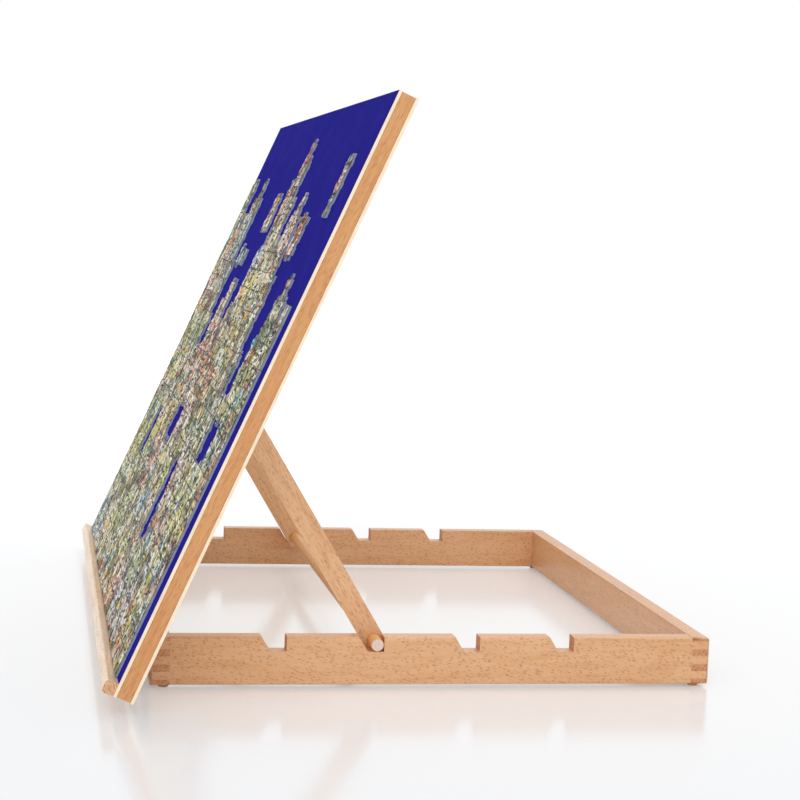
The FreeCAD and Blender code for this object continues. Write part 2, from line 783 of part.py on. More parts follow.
# Jigsaw on the felt, part assembled. It stands on the ledge.

piece = number("piece_pitch")
puzzle_left = -PUZZLE_COLUMNS * piece / 2
puzzle_low = board_foot.value + number("ledge_height") + number("seat_gap")
puzzle_back = front_face.value + number("felt_thickness")
puzzle_place = at(board_frame, puzzle_left, puzzle_low, puzzle_back)


def filled_rows(column):
    """Height of the assembled section at a column: two waves, in whole pieces."""
    wave = 18.4 + 4.2 * math.sin(0.33 * column + 0.6) + 2.8 * math.sin(0.93 * column + 1.9)
    return max(5, min(PUZZLE_ROWS, round(wave)))


def block(column, row, width, height):
    """A rectangle of pieces."""
    return Part.makeBox(width * piece, height * piece, number("piece_thickness"),
                        Vector(column * piece, row * piece, 0))


def assembled_section():
    """The main section: a stepped outline with some spaces still open."""
    corners = [Vector(0, 0, 0)]
    for column in range(PUZZLE_COLUMNS):
        height = filled_rows(column) * piece
        corners.append(Vector(column * piece, height, 0))
        corners.append(Vector((column + 1) * piece, height, 0))
    corners += [Vector(PUZZLE_COLUMNS * piece, 0, 0), Vector(0, 0, 0)]
    plate = Part.Face(Part.makePolygon(corners)).extrude(Vector(0, 0, number("piece_thickness")))
    return plate.cut([block(*space) for space in OPEN_SPACES]).removeSplitter()


section = keep(doc.addObject("Part::Feature", "section"), "puzzle_section")
section.Shape = assembled_section()
section.Placement = puzzle_place
clusters = keep(doc.addObject("Part::Feature", "clusters"), "puzzle_clusters")
clusters.Shape = Part.makeCompound([block(*cluster) for cluster in LOOSE_CLUSTERS])
clusters.Placement = puzzle_place


# Checks and export

def check(item):
    """Stop if an object failed or a sub-part has no valid solid."""
    if "Invalid" in item.State or "Error" in item.State:
        raise RuntimeError(f"{item.Label} failed: {item.State}")
    if item in nodes:
        shape = item.Shape
        if shape.isNull() or not shape.isValid() or not shape.Solids:
            raise RuntimeError(f"{item.Label} has no valid solid")


doc.recompute()
for item in doc.Objects:
    check(item)
os.makedirs("parts", exist_ok=True)
for item in nodes:
    item.Shape.exportStep(f"parts/{item.Label}.step")
    print(f"{item.Label}: {len(item.Shape.Solids)} solids, {item.Shape.Volume:.0f} mm3")
print(f"tilt {math.degrees(tilt):.2f}, arm slope {math.degrees(slope):.2f}")
print(f"hinge axis y {hinge_y - middle_y:.3f} z {hinge_z:.3f}")
print(f"pivot y {pivot_y - middle_y:.3f} z {pivot_z:.3f}, dowel y {dowel_y - middle_y:.3f} z {dowel_z:.3f}")
print(f"base front face y {-middle_y:.3f}, foremost point {foremost - middle_y:.3f}")
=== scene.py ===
"""Looks of a tilting wooden jigsaw board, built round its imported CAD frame.

The CAD model says where every piece is and how it moves. This file gives each piece its
finished form and its material: rounded beech rails and arms with their flecks and end
grain, sanded sheets, felt, plated fittings, and a part-assembled jigsaw of interlocking
pieces. Lengths are in metres unless a name ends in _mm.
"""

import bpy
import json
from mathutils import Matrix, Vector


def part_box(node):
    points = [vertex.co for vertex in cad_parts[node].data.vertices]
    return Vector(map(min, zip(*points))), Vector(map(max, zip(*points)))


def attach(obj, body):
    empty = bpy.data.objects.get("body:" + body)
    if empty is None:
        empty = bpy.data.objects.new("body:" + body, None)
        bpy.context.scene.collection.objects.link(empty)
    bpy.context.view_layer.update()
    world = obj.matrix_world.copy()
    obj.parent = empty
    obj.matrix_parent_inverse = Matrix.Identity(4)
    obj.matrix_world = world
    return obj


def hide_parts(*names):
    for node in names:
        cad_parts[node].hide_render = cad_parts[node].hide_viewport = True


bl_info = {
    "name": "Tilting jigsaw board",
    "version": (1, 0, 0),
    "blender": (4, 5, 0),
    "location": "3D View > Sidebar > Jigsaw board",
    "description": "Finished pieces, materials and studio for a tilting wooden jigsaw board",
    "category": "Add Mesh",
}

import json
import math

import bmesh
import bpy
import numpy as np
from bpy.props import FloatProperty, FloatVectorProperty, IntProperty, PointerProperty

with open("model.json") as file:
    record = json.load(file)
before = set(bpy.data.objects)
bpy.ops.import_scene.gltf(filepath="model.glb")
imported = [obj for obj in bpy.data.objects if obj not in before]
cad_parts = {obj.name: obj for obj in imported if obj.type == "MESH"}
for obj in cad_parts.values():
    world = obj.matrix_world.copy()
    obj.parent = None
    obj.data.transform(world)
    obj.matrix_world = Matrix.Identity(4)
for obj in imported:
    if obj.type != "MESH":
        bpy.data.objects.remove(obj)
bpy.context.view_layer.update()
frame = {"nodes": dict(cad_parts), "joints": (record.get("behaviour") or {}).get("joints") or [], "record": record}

MM = 0.001

# Edges with a sharper turn than this are rounded or kept sharp
SHARP = math.radians(40)
# Points nearer than this are one, and faces that turn less than this are one flat face
DOUBLE, FLAT = 0.002 * MM, math.radians(0.5)


# Frames of reference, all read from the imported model

joints = {joint["name"]: joint for joint in frame["joints"]}
mounts = {mount["name"]: mount for mount in frame["record"]["mounts"]}
ACROSS, REARWARD, UPWARD = np.eye(3)
HINGE = np.array(joints["board_tilt"]["pos_m"], float)
PIVOT = np.array(joints["prop_swing"]["pos_m"], float)
OUTWARD = np.array(mounts["work_face"]["axis"], float)
UPSLOPE = np.cross(OUTWARD, ACROSS)
BOARD_TILT = math.atan2(UPSLOPE[2], UPSLOPE[1])


def corners_of(*nodes):
    """Lowest and highest corner of several CAD nodes together, as arrays."""
    low, high = zip(*(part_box(node) for node in nodes))
    return np.min(low, axis=0), np.max(high, axis=0)


DOWEL_LOW, DOWEL_HIGH = corners_of("prop_dowel")
DOWEL_AXIS = (DOWEL_LOW + DOWEL_HIGH) / 2
DOWEL_RADIUS = (DOWEL_HIGH[2] - DOWEL_LOW[2]) / 2
ARM_SLOPE = math.atan2(DOWEL_AXIS[2] - PIVOT[2], DOWEL_AXIS[1] - PIVOT[1])
BASE_LOW, BASE_HIGH = corners_of(
    "base_side_rail_right", "base_side_rail_left", "base_front_rail", "base_rear_rail")
RAIL_THICKNESS = np.ptp(corners_of("base_side_rail_right"), axis=0)[0]


def on_board(x, along, out):
    """Points of the board: x across, along its slope from the hinge axis, out of its face."""
    x, along, out = np.broadcast_arrays(x, along, out)
    return HINGE + x[..., None] * ACROSS + along[..., None] * UPSLOPE + out[..., None] * OUTWARD


def mesh_values(items, name, width, kind=float):
    """One value of a mesh's vertices, edges or faces, as an array with a row for each."""
    values = np.empty(len(items) * width, kind)
    items.foreach_get(name, values)
    return values.reshape(-1, width)


def node_points(node, origin, *directions):
    """A CAD node's points from an origin, measured along some directions."""
    points = mesh_values(frame["nodes"][node].data.vertices, "co", 3)
    return (points - origin) @ np.array(directions, float).T


def board_span(node):
    """Lowest and highest x, along and out of a CAD node of the board."""
    placed = node_points(node, HINGE, ACROSS, UPSLOPE, OUTWARD)
    return placed.min(axis=0), placed.max(axis=0)


def paint(red, green, blue):
    """A colour given as on screen, from 0 to 255, as the linear one that shaders use."""
    screen = np.array((red, green, blue)) / 255
    linear = np.where(screen <= 0.04045, screen / 12.92, ((screen + 0.055) / 1.055) ** 2.4)
    return tuple(float(value) for value in linear)


def colour_choice(name, description, *screen):
    """A colour that the user can change."""
    return FloatVectorProperty(name=name, description=description, default=paint(*screen),
                               subtype="COLOR", size=3, min=0, max=1)


def length_choice(name, description, default_mm):
    """A length that the user can change."""
    return FloatProperty(name=name, description=description, default=default_mm * MM,
                         min=0, unit="LENGTH", precision=5)


class WoodChoices(bpy.types.PropertyGroup):
    """Sizes and colours of the beech and the other woods."""

    ground: colour_choice("Beech", "Light ground of the beech", 226, 177, 133)
    arm: colour_choice("Arm beech", "Slightly lighter ground of the arms", 238, 192, 148)
    golden: colour_choice("Golden beech", "Ground of the board's own frame", 218, 162, 106)
    # Painted light: the ledge's ground and streaks are paler than the beech, standing for the light from the front
    # left that whitens the ledge's outer face.
    pale: colour_choice("Ledge beech, painted light", "Ground of the ledge, paled as painted light", 250, 226, 200)
    lit_ledge_streak: colour_choice("Ledge streaks, painted light", "Streaks of the ledge, paled as painted light", 234, 192, 148)
    rosy: colour_choice("Rosy streaks", "Streaks of the board's own frame", 204, 136, 80)
    streak: colour_choice("Streaks", "Darker streaks along the grain", 212, 154, 104)
    fleck: colour_choice("Flecks", "Short dark flecks of the beech", 138, 80, 46)
    end_ground: colour_choice("End grain", "Cut ends of the beech", 206, 144, 100)
    end_line: colour_choice("End grain lines", "Rays across the cut ends", 150, 92, 58)
    sheet: colour_choice("Sheets", "Pale sheets of the board", 252, 234, 204)
    dowel: colour_choice("Dowel", "Hardwood of the cross dowel", 226, 170, 112)
    dowel_end: colour_choice("Dowel ends", "Pale cut ends of the cross dowel", 226, 206, 194)
    fleck_length: length_choice("Fleck length", "One cell of flecks along the grain", 4.6)
    fleck_width: length_choice("Fleck width", "One cell of flecks across the grain", 1.3)
    corner: length_choice("Corner rounding", "Outer edges of the base frame", 3.0)
    under: length_choice("Lower rounding", "Outer lower edges of the base frame", 1.2)
    edge: length_choice("Edge rounding", "Edges of the arms", 0.9)
    inner: length_choice("Inner rounding", "Inner edges and notches of the rails", 0.4)
    joint: length_choice("Joint rounding", "Sanded edges of the board's own pieces", 0.35)


class BoardChoices(bpy.types.PropertyGroup):
    """Colours of the felt, the fittings and the feet."""

    felt: colour_choice("Felt", "Royal blue felt", 37, 33, 144)
    felt_fibre: colour_choice("Felt fibres", "Lighter fibres on the felt", 56, 52, 168)
    plating: colour_choice("Plating", "Zinc plating of the hinges and screws", 196, 196, 190)
    rubber: colour_choice("Feet", "Amber rubber of the bumper feet", 208, 152, 88)


class JigsawChoices(bpy.types.PropertyGroup):
    """Sizes and colours of the jigsaw."""

    knob: FloatProperty(name="Knob height", description="Knob height as a share of a piece",
                        default=0.27, min=0.1, max=0.35, subtype="FACTOR")
    wobble: FloatProperty(name="Wobble", description="How far the cuts leave the regular grid",
                          default=0.06, min=0, max=0.15, subtype="FACTOR")
    gap: length_choice("Gap", "Half of the gap between two pieces", 0.2)
    shoulder: length_choice("Shoulder", "Rounded upper edge of a piece", 0.7)
    seed: IntProperty(name="Seed", description="Another cutting of the pieces", default=11, min=0)
    line: colour_choice("Print lines", "Dark strokes of the print", 28, 28, 26)
    light: colour_choice("Print lights", "Lightest strokes of the print", 252, 252, 240)
    # Painted shade: the rim colour stands for the shade in the gaps between the pieces.
    rim: colour_choice("Rim shade", "Painted shade at the rims of the pieces", 70, 68, 62)
    card: colour_choice("Card", "Cut sides of the blue-grey card", 150, 154, 172)


class StudioChoices(bpy.types.PropertyGroup):
    """Camera, lamps and table."""

    table: colour_choice("Table", "White table", 247, 248, 251)
    sky: FloatProperty(name="Soft light", description="Level of the even light all round",
                       default=0.66, min=0)
    overhead: FloatProperty(name="Overhead lamp", description="Level of the lamp from above",
                            default=0.62, min=0)
    side: FloatProperty(name="Side lamp", description="Level of the lamp from the camera's side",
                        default=1.1, min=0)
    place: FloatVectorProperty(name="Camera place", description="Where the camera stands",
                               default=(1.875905, -0.317175, 0.392571), subtype="XYZ", size=3)
    turn: FloatVectorProperty(name="Camera turn", description="How the camera is turned",
                              default=(1.478991, -0.041567, 1.389726), subtype="EULER", size=3)
    lens: FloatProperty(name="Lens", description="Focal length on a 36 mm sensor",
                        default=87.646, min=10, unit="CAMERA")


def wood():
    """The user's choices for the wood."""
    return bpy.context.scene.jigsaw_board_wood


def board():
    """The user's choices for the felt, the fittings and the feet."""
    return bpy.context.scene.jigsaw_board_board


def jigsaw():
    """The user's choices for the jigsaw."""
    return bpy.context.scene.jigsaw_board_jigsaw


def studio():
    """The user's choices for the camera, the lamps and the table."""
    return bpy.context.scene.jigsaw_board_studio


# Shader sums

class Link:
    """A shader socket in Python sums: each sum on it adds a Math node to its tree."""

    def __init__(self, tree, socket=None):
        self.tree = tree
        self.socket = socket

    def add(self, kind, sockets=None, output=0, stops=None, **settings):
        """Add a node of any kind: settings and a ramp's stops first, then values or links."""
        node = self.tree.nodes.new(kind)
        for name, value in settings.items():
            setattr(node, name, value)
        for index, (place, colour) in enumerate(stops or ()):
            elements = node.color_ramp.elements
            element = elements[index] if index < 2 else elements.new(place)
            element.position = place
            element.color = (*colour, 1)
        for name, value in (sockets or {}).items():
            if isinstance(value, Link):
                self.tree.links.new(value.socket, node.inputs[name])
            else:
                node.inputs[name].default_value = value
        return Link(self.tree, node.outputs[output] if node.outputs else None)

    def math(self, operation, first, second=0.0):
        """A Math node on two values."""
        return self.add("ShaderNodeMath", {0: first, 1: second}, operation=operation)

    def __add__(self, other):
        return self.math("ADD", self, other)

    def __sub__(self, other):
        return self.math("SUBTRACT", self, other)

    def __rsub__(self, other):
        return self.math("SUBTRACT", other, self)

    def __mul__(self, other):
        return self.math("MULTIPLY", self, other)

    def __truediv__(self, other):
        return self.math("DIVIDE", self, other)

    __radd__ = __add__
    __rmul__ = __mul__

    def rise(self, low, high):
        """0 below low and 1 above high, smooth in between. Low may be the larger."""
        return self.add("ShaderNodeMapRange", {"Value": self, "From Min": low, "From Max": high},
                        interpolation_type="SMOOTHSTEP")

    def stretched(self, *factors):
        """A vector times one factor for each axis."""
        return self.add("ShaderNodeVectorMath", {0: self, 1: factors}, operation="MULTIPLY")

    def shifted(self, other):
        """A vector plus another."""
        return self.add("ShaderNodeVectorMath", {0: self, 1: other}, operation="ADD")

    def turned(self, *angles):
        """A place turned about the axes."""
        return self.add("ShaderNodeMapping", {"Vector": self, "Rotation": angles})

    def length(self):
        """The length of a vector."""
        return self.add("ShaderNodeVectorMath", {0: self}, 1, operation="LENGTH")

    def noise(self, detail=2.0, roughness=0.5, output=0):
        """Noise at this place: 0 the value, 1 the colour."""
        return self.add("ShaderNodeTexNoise", {"Vector": self, "Scale": 1.0, "Detail": detail,
                                               "Roughness": roughness}, output)

    def cells(self, output, distance="EUCLIDEAN"):
        """Cells at this place: 0 the distance, 1 the colour of the cell."""
        return self.add("ShaderNodeTexVoronoi", {"Vector": self, "Scale": 1.0}, output,
                        distance=distance)

    def blocks(self, output):
        """Cells with upright and level sides: 0 the distance, 1 the colour."""
        return self.cells(output, "CHEBYCHEV")

    def red(self, part=0):
        """The red of a colour as a value, or its green with part 1."""
        return self.add("ShaderNodeSeparateColor", {"Color": self}, part)

    def pick(self, screen_colours):
        """A colour of a list by this value from 0 to 1, mixed between neighbours."""
        stops = [(index / len(screen_colours), paint(*colour))
                 for index, colour in enumerate(screen_colours)]
        return self.add("ShaderNodeValToRGB", {"Fac": self}, stops=stops)

    def mix(self, *colours):
        """Two colours, links or plain, mixed by this share."""
        first, second = (colour if isinstance(colour, Link) else (*colour, 1)
                         for colour in colours)
        return self.add("ShaderNodeMix", {0: self, 6: first, 7: second}, 2, data_type="RGBA")

    def towards(self, other, share):
        """This colour mixed with another by a share."""
        return share.mix(self, other)


def new_material(name, turn=(0.0, 0.0, 0.0), shift_mm=(0.0, 0.0, 0.0)):
    """A material with an empty tree, and the place in millimetres as a link in it.

    The place is turned so that the piece's grain lies along X.
    """
    material = bpy.data.materials.new(name)
    material.use_nodes = True
    material.node_tree.nodes.clear()
    start = Link(material.node_tree)
    here = start.add("ShaderNodeTexCoord", output="Object")
    place = start.add("ShaderNodeMapping", {"Vector": here, "Location": shift_mm,
                                            "Rotation": turn, "Scale": (1 / MM,) * 3})
    return material, place


def close_material(material, colour, roughness, height=None, depth_mm=0.0, **fixed):
    """End a material's tree in one shader, with a bump of the given depth."""
    sockets = {"Base Color": colour, "Roughness": roughness}
    sockets.update({name.replace("_", " "): value for name, value in fixed.items()})
    if height is not None:
        sockets["Normal"] = height.add("ShaderNodeBump", {"Height": height,
                                                          "Distance": depth_mm * MM})
    shader = colour.add("ShaderNodeBsdfPrincipled", sockets)
    shader.add("ShaderNodeOutputMaterial", {"Surface": shader})
    return material


def brighter(colour, factor):
    """A colour times a factor, or a darker one for a factor under 1."""
    return tuple(min(1.0, value * factor) for value in colour)


# The grain of a piece along the world's X or Y, along the board's slope, or along an arm
ALONG_X = (0.0, 0.0, 0.0)
ALONG_Y = (0.0, 0.0, -math.pi / 2)
BOARD_X = (-BOARD_TILT, 0.0, 0.0)
BOARD_UP = (-BOARD_TILT, 0.0, -math.pi / 2)
ALONG_ARM = (-ARM_SLOPE, 0.0, -math.pi / 2)

# Flecks and streaks of the board's own beech
CALM_GRAIN = {"slant": -0.14, "drawn_out": 1.8, "depth": 0.3}


# Wood and the other finishes

def beech(name, turn, shift_mm, slant, ground=None, streak=None, drawn_out=1.0, depth=0.5):
    """Oiled beech, its grain along the turned X, its flecks drawn out by a factor.

    Slow noise bends the place. Streaks are noise drawn out along the grain; growth rings
    are equal steps of the distance from a line beside the piece. Flecks are drawn-out
    cells, dark near each cell's point and darker in some cells than in others. They and
    the fine streaks lie at a slant to the grain on the piece's sides.
    """
    choices = wood()
    material, place = new_material(name, turn, shift_mm)
    bent = place.shifted(place.stretched(0.011, 0.03, 0.03).noise(output=1).stretched(0, 14, 14))
    streaks = bent.stretched(0.012, 0.33, 0.33).noise(detail=4.0, roughness=0.6)
    clouds = place.stretched(0.009, 0.03, 0.03).noise(detail=1.0)
    beside = bent.shifted((0, 63, -41)).stretched(0, 1, 1)
    step = place.math("FRACT", beside.length() / 3.6)
    ring = step.rise(0.35, 0.95) * step.rise(1.0, 0.95)
    slanted = bent.turned(0.0, slant, 0.0)
    cell = slanted.stretched(MM / choices.fleck_length / drawn_out, MM / choices.fleck_width,
                             MM / choices.fleck_width)
    chance = cell.cells(1).red()
    fleck = cell.cells(0).rise(0.48, 0.15) * chance.rise(0.0, 0.6)
    pores = place.stretched(0.22, 2.3, 2.3).noise(detail=2.0)
    fine = slanted.stretched(0.085, 0.95, 0.95).noise(detail=1.0)
    share = (streaks.rise(0.34, 0.72) * 0.45 + ring * 0.2 + clouds.rise(0.4, 0.7) * 0.2
             + fine.rise(0.42, 0.62) * (0.62 - depth))
    colour = share.mix(ground or choices.ground, streak or choices.streak)
    colour = colour.towards(choices.fleck, fleck * depth + pores.rise(0.60, 0.74) * 0.2)
    return close_material(material, colour, streaks * 0.12 + 0.36, 1 - fleck * 0.7 - pores * 0.3,
                          0.05, Specular_IOR_Level=0.3, Coat_Weight=0.3, Coat_Roughness=0.2)


def beech_end(name, turn, shift_mm, ground=None):
    """Cut ends of the beech: fine rays, as noise drawn out across the rings, and pores."""
    choices = wood()
    material, place = new_material(name, turn, shift_mm)
    rays = place.turned(0.6, 0.0, 0.0).stretched(0.1, 1.25, 0.17).noise(detail=3.0)
    pores = place.stretched(0.3, 2.6, 2.6).noise(detail=1.0)
    bands = place.stretched(0.05, 0.12, 0.3).noise(detail=1.0)
    share = rays.rise(0.44, 0.66) * 0.75 + pores.rise(0.55, 0.7) * 0.3
    colour = share.mix(ground or choices.end_ground, choices.end_line)
    colour = colour.towards(choices.ground, bands.rise(0.5, 0.75) * 0.3)
    return close_material(material, colour, 0.55, 1 - rays * 0.6 - pores * 0.4, 0.06)


def pale_sheet(name, turn):
    """Thin pale sheet: faint drawn-out figure and a few fine pores."""
    choices = wood()
    material, place = new_material(name, turn)
    figure = place.stretched(0.006, 0.09, 0.09).noise(detail=4.0, roughness=0.62)
    pores = place.stretched(0.12, 1.9, 1.9).noise(detail=2.0)
    share = figure.rise(0.35, 0.75) * 0.2 + pores.rise(0.6, 0.78) * 0.16
    colour = share.mix(choices.sheet, choices.streak)
    return close_material(material, colour, figure * 0.1 + 0.42, 1 - pores, 0.03)


def dowel_wood(name, drawn_out):
    """Pale hardwood dowel, or its cut ends where the pattern isn't drawn out."""
    choices = wood()
    material, place = new_material(name)
    along = 0.03 if drawn_out else 0.9
    grain = place.stretched(along, 0.9, 0.9).noise(detail=4.0, roughness=0.6)
    specks = place.stretched(along * 3, 2.1, 2.1).noise(detail=1.0)
    depth, ground = (0.35, choices.dowel) if drawn_out else (0.45, choices.dowel_end)
    share = grain.rise(0.45, 0.75) * depth * 0.6 + specks.rise(0.6, 0.72) * depth
    colour = share.mix(ground, choices.fleck)
    return close_material(material, colour, 0.5, 1 - grain, 0.04)


def felt_cloth():
    """Dense felt: short fibres as two crossed, drawn-out noises on a mottled ground."""
    choices = board()
    material, place = new_material("blue felt", BOARD_X)
    wander = place.shifted(place.stretched(0.4, 0.4, 0.4).noise(output=1).stretched(2.2, 2.2, 0))
    one_way = wander.stretched(0.9, 4.5, 1.0).noise(detail=3.0)
    other_way = wander.stretched(4.5, 0.9, 1.0).noise(detail=3.0)
    fibres = one_way.rise(0.5, 0.68) + other_way.rise(0.5, 0.68)
    mottle = place.stretched(0.03, 0.03, 0.03).noise(detail=3.0)
    share = fibres * 0.22 + mottle.rise(0.4, 0.7) * 0.18
    colour = share.mix(choices.felt, choices.felt_fibre)
    return close_material(material, colour, 0.96, fibres, 0.12, Specular_IOR_Level=0.02)


def zinc_plating():
    """Plated steel: a satin metal with fine blotches and rubbed lines."""
    material, place = new_material("zinc plating", BOARD_X)
    blotches = place.stretched(0.35, 0.35, 0.35).noise(detail=3.0)
    rubbed = place.stretched(0.25, 3.0, 3.0).noise(detail=2.0)
    plating = board().plating
    colour = blotches.rise(0.4, 0.7).mix(plating, brighter(plating, 0.72))
    return close_material(material, colour, rubbed * 0.2 + 0.22, rubbed, 0.01, Metallic=1.0)


def clear_rubber():
    """Amber, slightly clear rubber."""
    material, place = new_material("bumper rubber")
    haze = place.stretched(0.6, 0.6, 0.6).noise(detail=2.0)
    rubber = board().rubber
    colour = haze.rise(0.4, 0.7).mix(rubber, brighter(rubber, 1.25))
    return close_material(material, colour, haze * 0.1 + 0.18, haze, 0.02, Transmission_Weight=0.2,
                          IOR=1.45)


# Colours of the print, and the sizes of its marks in millimetres, across and up
REGIONS = [(232, 224, 184), (222, 138, 118), (184, 196, 96), (232, 214, 150), (136, 186, 198),
           (216, 182, 158)]
PATCHES = [(240, 234, 200), (224, 124, 96), (196, 202, 92), (146, 190, 214), (228, 196, 174),
           (128, 176, 104), (236, 212, 122), (196, 188, 164)]
PLOTS = [(242, 234, 198), (92, 132, 50), (232, 196, 52), (216, 66, 46), (70, 166, 178),
         (56, 54, 56), (176, 124, 78), (238, 196, 130), (120, 156, 130)]
REGION_MM, PATCH_MM, PLOT_MM = (190, 120), (74, 44), (21, 15)
DASH_MM, STROKE_MM = (9, 2.2), (4.5, 9)


def jigsaw_print():
    """A patchwork print: large patches, plots in them, strokes and dashes over both.

    Each size is a set of blocks. A block's own random value picks its colour, or makes it
    dark, light or neither, and plots are outlined where they are far from their middle.
    """
    material, place = new_material("jigsaw print", BOARD_X, (311.0, 97.0, 0.0))
    place = place.stretched(1, 1, 0)
    line, light = jigsaw().line, jigsaw().light
    bent = place.shifted(place.stretched(0.012, 0.012, 1).noise(output=1).stretched(22, 18, 0))
    regions, patches, plots, dashes, strokes = (
        bent.stretched(1 / across, 1 / up, 1)
        for across, up in (REGION_MM, PATCH_MM, PLOT_MM, DASH_MM, STROKE_MM))
    dashes, strokes = dashes.blocks(1).red(), strokes.blocks(1).red()
    patch, plot = patches.blocks(1), plots.blocks(1)
    colour = regions.blocks(1).red().pick(REGIONS)
    colour = colour.towards(patch.red().pick(PATCHES), patch.red(1))
    colour = colour.towards(plot.red().pick(PLOTS), plot.red(1).rise(0.6, 0.7) * 0.85)
    colour = colour.towards(line, strokes.rise(0.9, 0.91) * 0.95)
    colour = colour.towards(light, strokes.rise(0.15, 0.14) * 0.9)
    colour = colour.towards(line, dashes.rise(0.86, 0.87) * 0.95)
    colour = colour.towards(light, dashes.rise(0.13, 0.12) * 0.9)
    colour = colour.towards(line, plots.blocks(0).rise(0.46, 0.56) * 0.6)
    lean_shade, rim = (place.add("ShaderNodeAttribute", output="Fac", attribute_name=name)
                 for name in ("lean_shade", "rim"))
    # Painted shade: each piece is darkened by its own random share, standing for pieces that lean a little
    # differently to the light.
    colour = colour.towards(line, lean_shade * 0.22)
    # Painted shade: the shoulder ring of each piece is darkened towards the rim colour, for the shade in the gaps
    # between pieces.
    colour = colour.towards(jigsaw().rim, rim.rise(0.05, 0.5) * 0.9)
    linen = place.stretched(1.6, 1.6, 1).noise(detail=2.0)
    return close_material(material, colour, linen * 0.1 + 0.4, linen, 0.02,
                          Specular_IOR_Level=0.03)


def jigsaw_card():
    """Cut sides of the card: thin layers with torn fibres."""
    material, place = new_material("jigsaw card", BOARD_X)
    layers = place.stretched(0.3, 0.3, 3.4).noise(detail=3.0)
    card = jigsaw().card
    colour = layers.rise(0.45, 0.7).mix(card, brighter(card, 1.5))
    return close_material(material, colour, 0.85, layers, 0.08, Specular_IOR_Level=0.1)


# Pieces

def made(*names):
    """Materials that stand already, by their names."""
    return [bpy.data.materials[name] for name in names]


def finish_piece(piece, body, slot, *nodes):
    """Let a piece move with its body and stand for its CAD nodes."""
    bpy.context.scene.collection.objects.link(piece)
    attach(piece, body)
    if nodes:
        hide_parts(*nodes)
    return piece


def mesh_object(name, points, faces, materials, merge=False, smooth=True):
    """An object from points and faces as arrays, its doubles merged if asked."""
    mesh = bpy.data.meshes.new(name)
    mesh.from_pydata(np.reshape(points, (-1, 3)).tolist(), [],
                     [face for block in faces for face in np.asarray(block).tolist()])
    if merge:
        form = bmesh.new()
        form.from_mesh(mesh)
        bmesh.ops.remove_doubles(form, verts=form.verts, dist=DOUBLE)
        bmesh.ops.recalc_face_normals(form, faces=form.faces)
        form.to_mesh(mesh)
        form.free()
    mesh.polygons.foreach_set("use_smooth", np.full(len(mesh.polygons), smooth))
    for material in materials:
        mesh.materials.append(material)
    mesh.update()
    return bpy.data.objects.new(name, mesh)


def grid_faces(rows, columns, first=0, wrap=False):
    """Quads between neighbouring rows and columns, round to the first column if wrapped."""
    row = np.arange(rows - 1)[:, None]
    column = np.arange(columns if wrap else columns - 1)[None, :]
    after = (column + 1) % columns
    corner = [row * columns + column, row * columns + after,
              (row + 1) * columns + after, (row + 1) * columns + column]
    return first + np.stack(np.broadcast_arrays(*corner), axis=-1).reshape(-1, 4)


def mark_faces(mesh, direction, index):
    """Give the faces that look along a direction, either way, another material."""
    facing = np.abs(mesh_values(mesh.polygons, "normal", 3) @ np.asarray(direction, float)) > 0.9
    chosen = mesh_values(mesh.polygons, "material_index", 1, np.int32)[:, 0]
    mesh.polygons.foreach_set("material_index", np.where(facing, index, chosen).astype(np.int32))


def merged_mesh(node, name):
    """A copy of a CAD node's mesh with its triangles joined into whole flat faces."""
    form = bmesh.new()
    form.from_mesh(frame["nodes"][node].data)
    bmesh.ops.remove_doubles(form, verts=form.verts, dist=DOUBLE)
    bmesh.ops.dissolve_limit(form, angle_limit=FLAT, verts=form.verts, edges=form.edges)
    mesh = bpy.data.meshes.new(name)
    form.to_mesh(mesh)
    form.free()
    return mesh


def edge_lines(mesh):
    """Middle and direction of every edge, as arrays."""
    points = mesh_values(mesh.vertices, "co", 3)
    first, second = points[mesh_values(mesh.edges, "vertices", 2, np.int32)].transpose(1, 0, 2)
    direction = second - first
    length = np.linalg.norm(direction, axis=1, keepdims=True)
    return (first + second) / 2, direction / np.maximum(length, 1e-9)


def worked_piece(node, name, body, slot, materials, width, ends=None, rule=None, segments=2):
    """A CAD node's copy with rounded edges, which stands for the node.

    A rule gives each edge its rounding; without one every sharp edge gets the width.
    Faces across the direction `ends` show the second material, the cut grain.
    """
    mesh = merged_mesh(node, name)
    for material in materials:
        mesh.materials.append(material)
    mesh.polygons.foreach_set("material_index", np.zeros(len(mesh.polygons), np.int32))
    if ends is not None:
        mark_faces(mesh, ends, 1)
    mesh.polygons.foreach_set("use_smooth", np.ones(len(mesh.polygons), bool))
    mesh.set_sharp_from_angle(angle=SHARP)
    piece = bpy.data.objects.new(name, mesh)
    bevel = piece.modifiers.new("rounding", "BEVEL")
    bevel.segments = segments
    bevel.width = width
    if rule is None:
        bevel.limit_method = "ANGLE"
        bevel.angle_limit = SHARP
    else:
        weights = mesh.attributes.new("bevel_weight_edge", "FLOAT", "EDGE")
        weights.data.foreach_set("value", (rule(*edge_lines(mesh)) / width).astype(np.float32))
        bevel.limit_method = "WEIGHT"
    flat = piece.modifiers.new("flat faces", "WEIGHTED_NORMAL")
    flat.keep_sharp = True
    return finish_piece(piece, body, slot, node)


def wooden_piece(node, name, body, turn, shift_mm, ends, width, label=None, end_ground=None,
                 rule=None, segments=2, **grain):
    """A worked piece of beech with cut grain at its ends. The label names its materials."""
    label = label or name
    finishes = [beech(f"beech of {label}", turn, shift_mm, **grain),
                beech_end(f"cut ends of {label}", turn, shift_mm, end_ground)]
    return worked_piece(node, name, body, "beech", finishes, width, ends, rule, segments)


def plated_piece(node, name, body, width):
    """A worked piece of plated steel."""
    return worked_piece(node, name, body, "zinc_steel", made("zinc plating"), width)


def near(values, *targets):
    """Which values lie on one of the targets."""
    return np.any([np.abs(values - target) < 0.02 * MM for target in targets], axis=0)


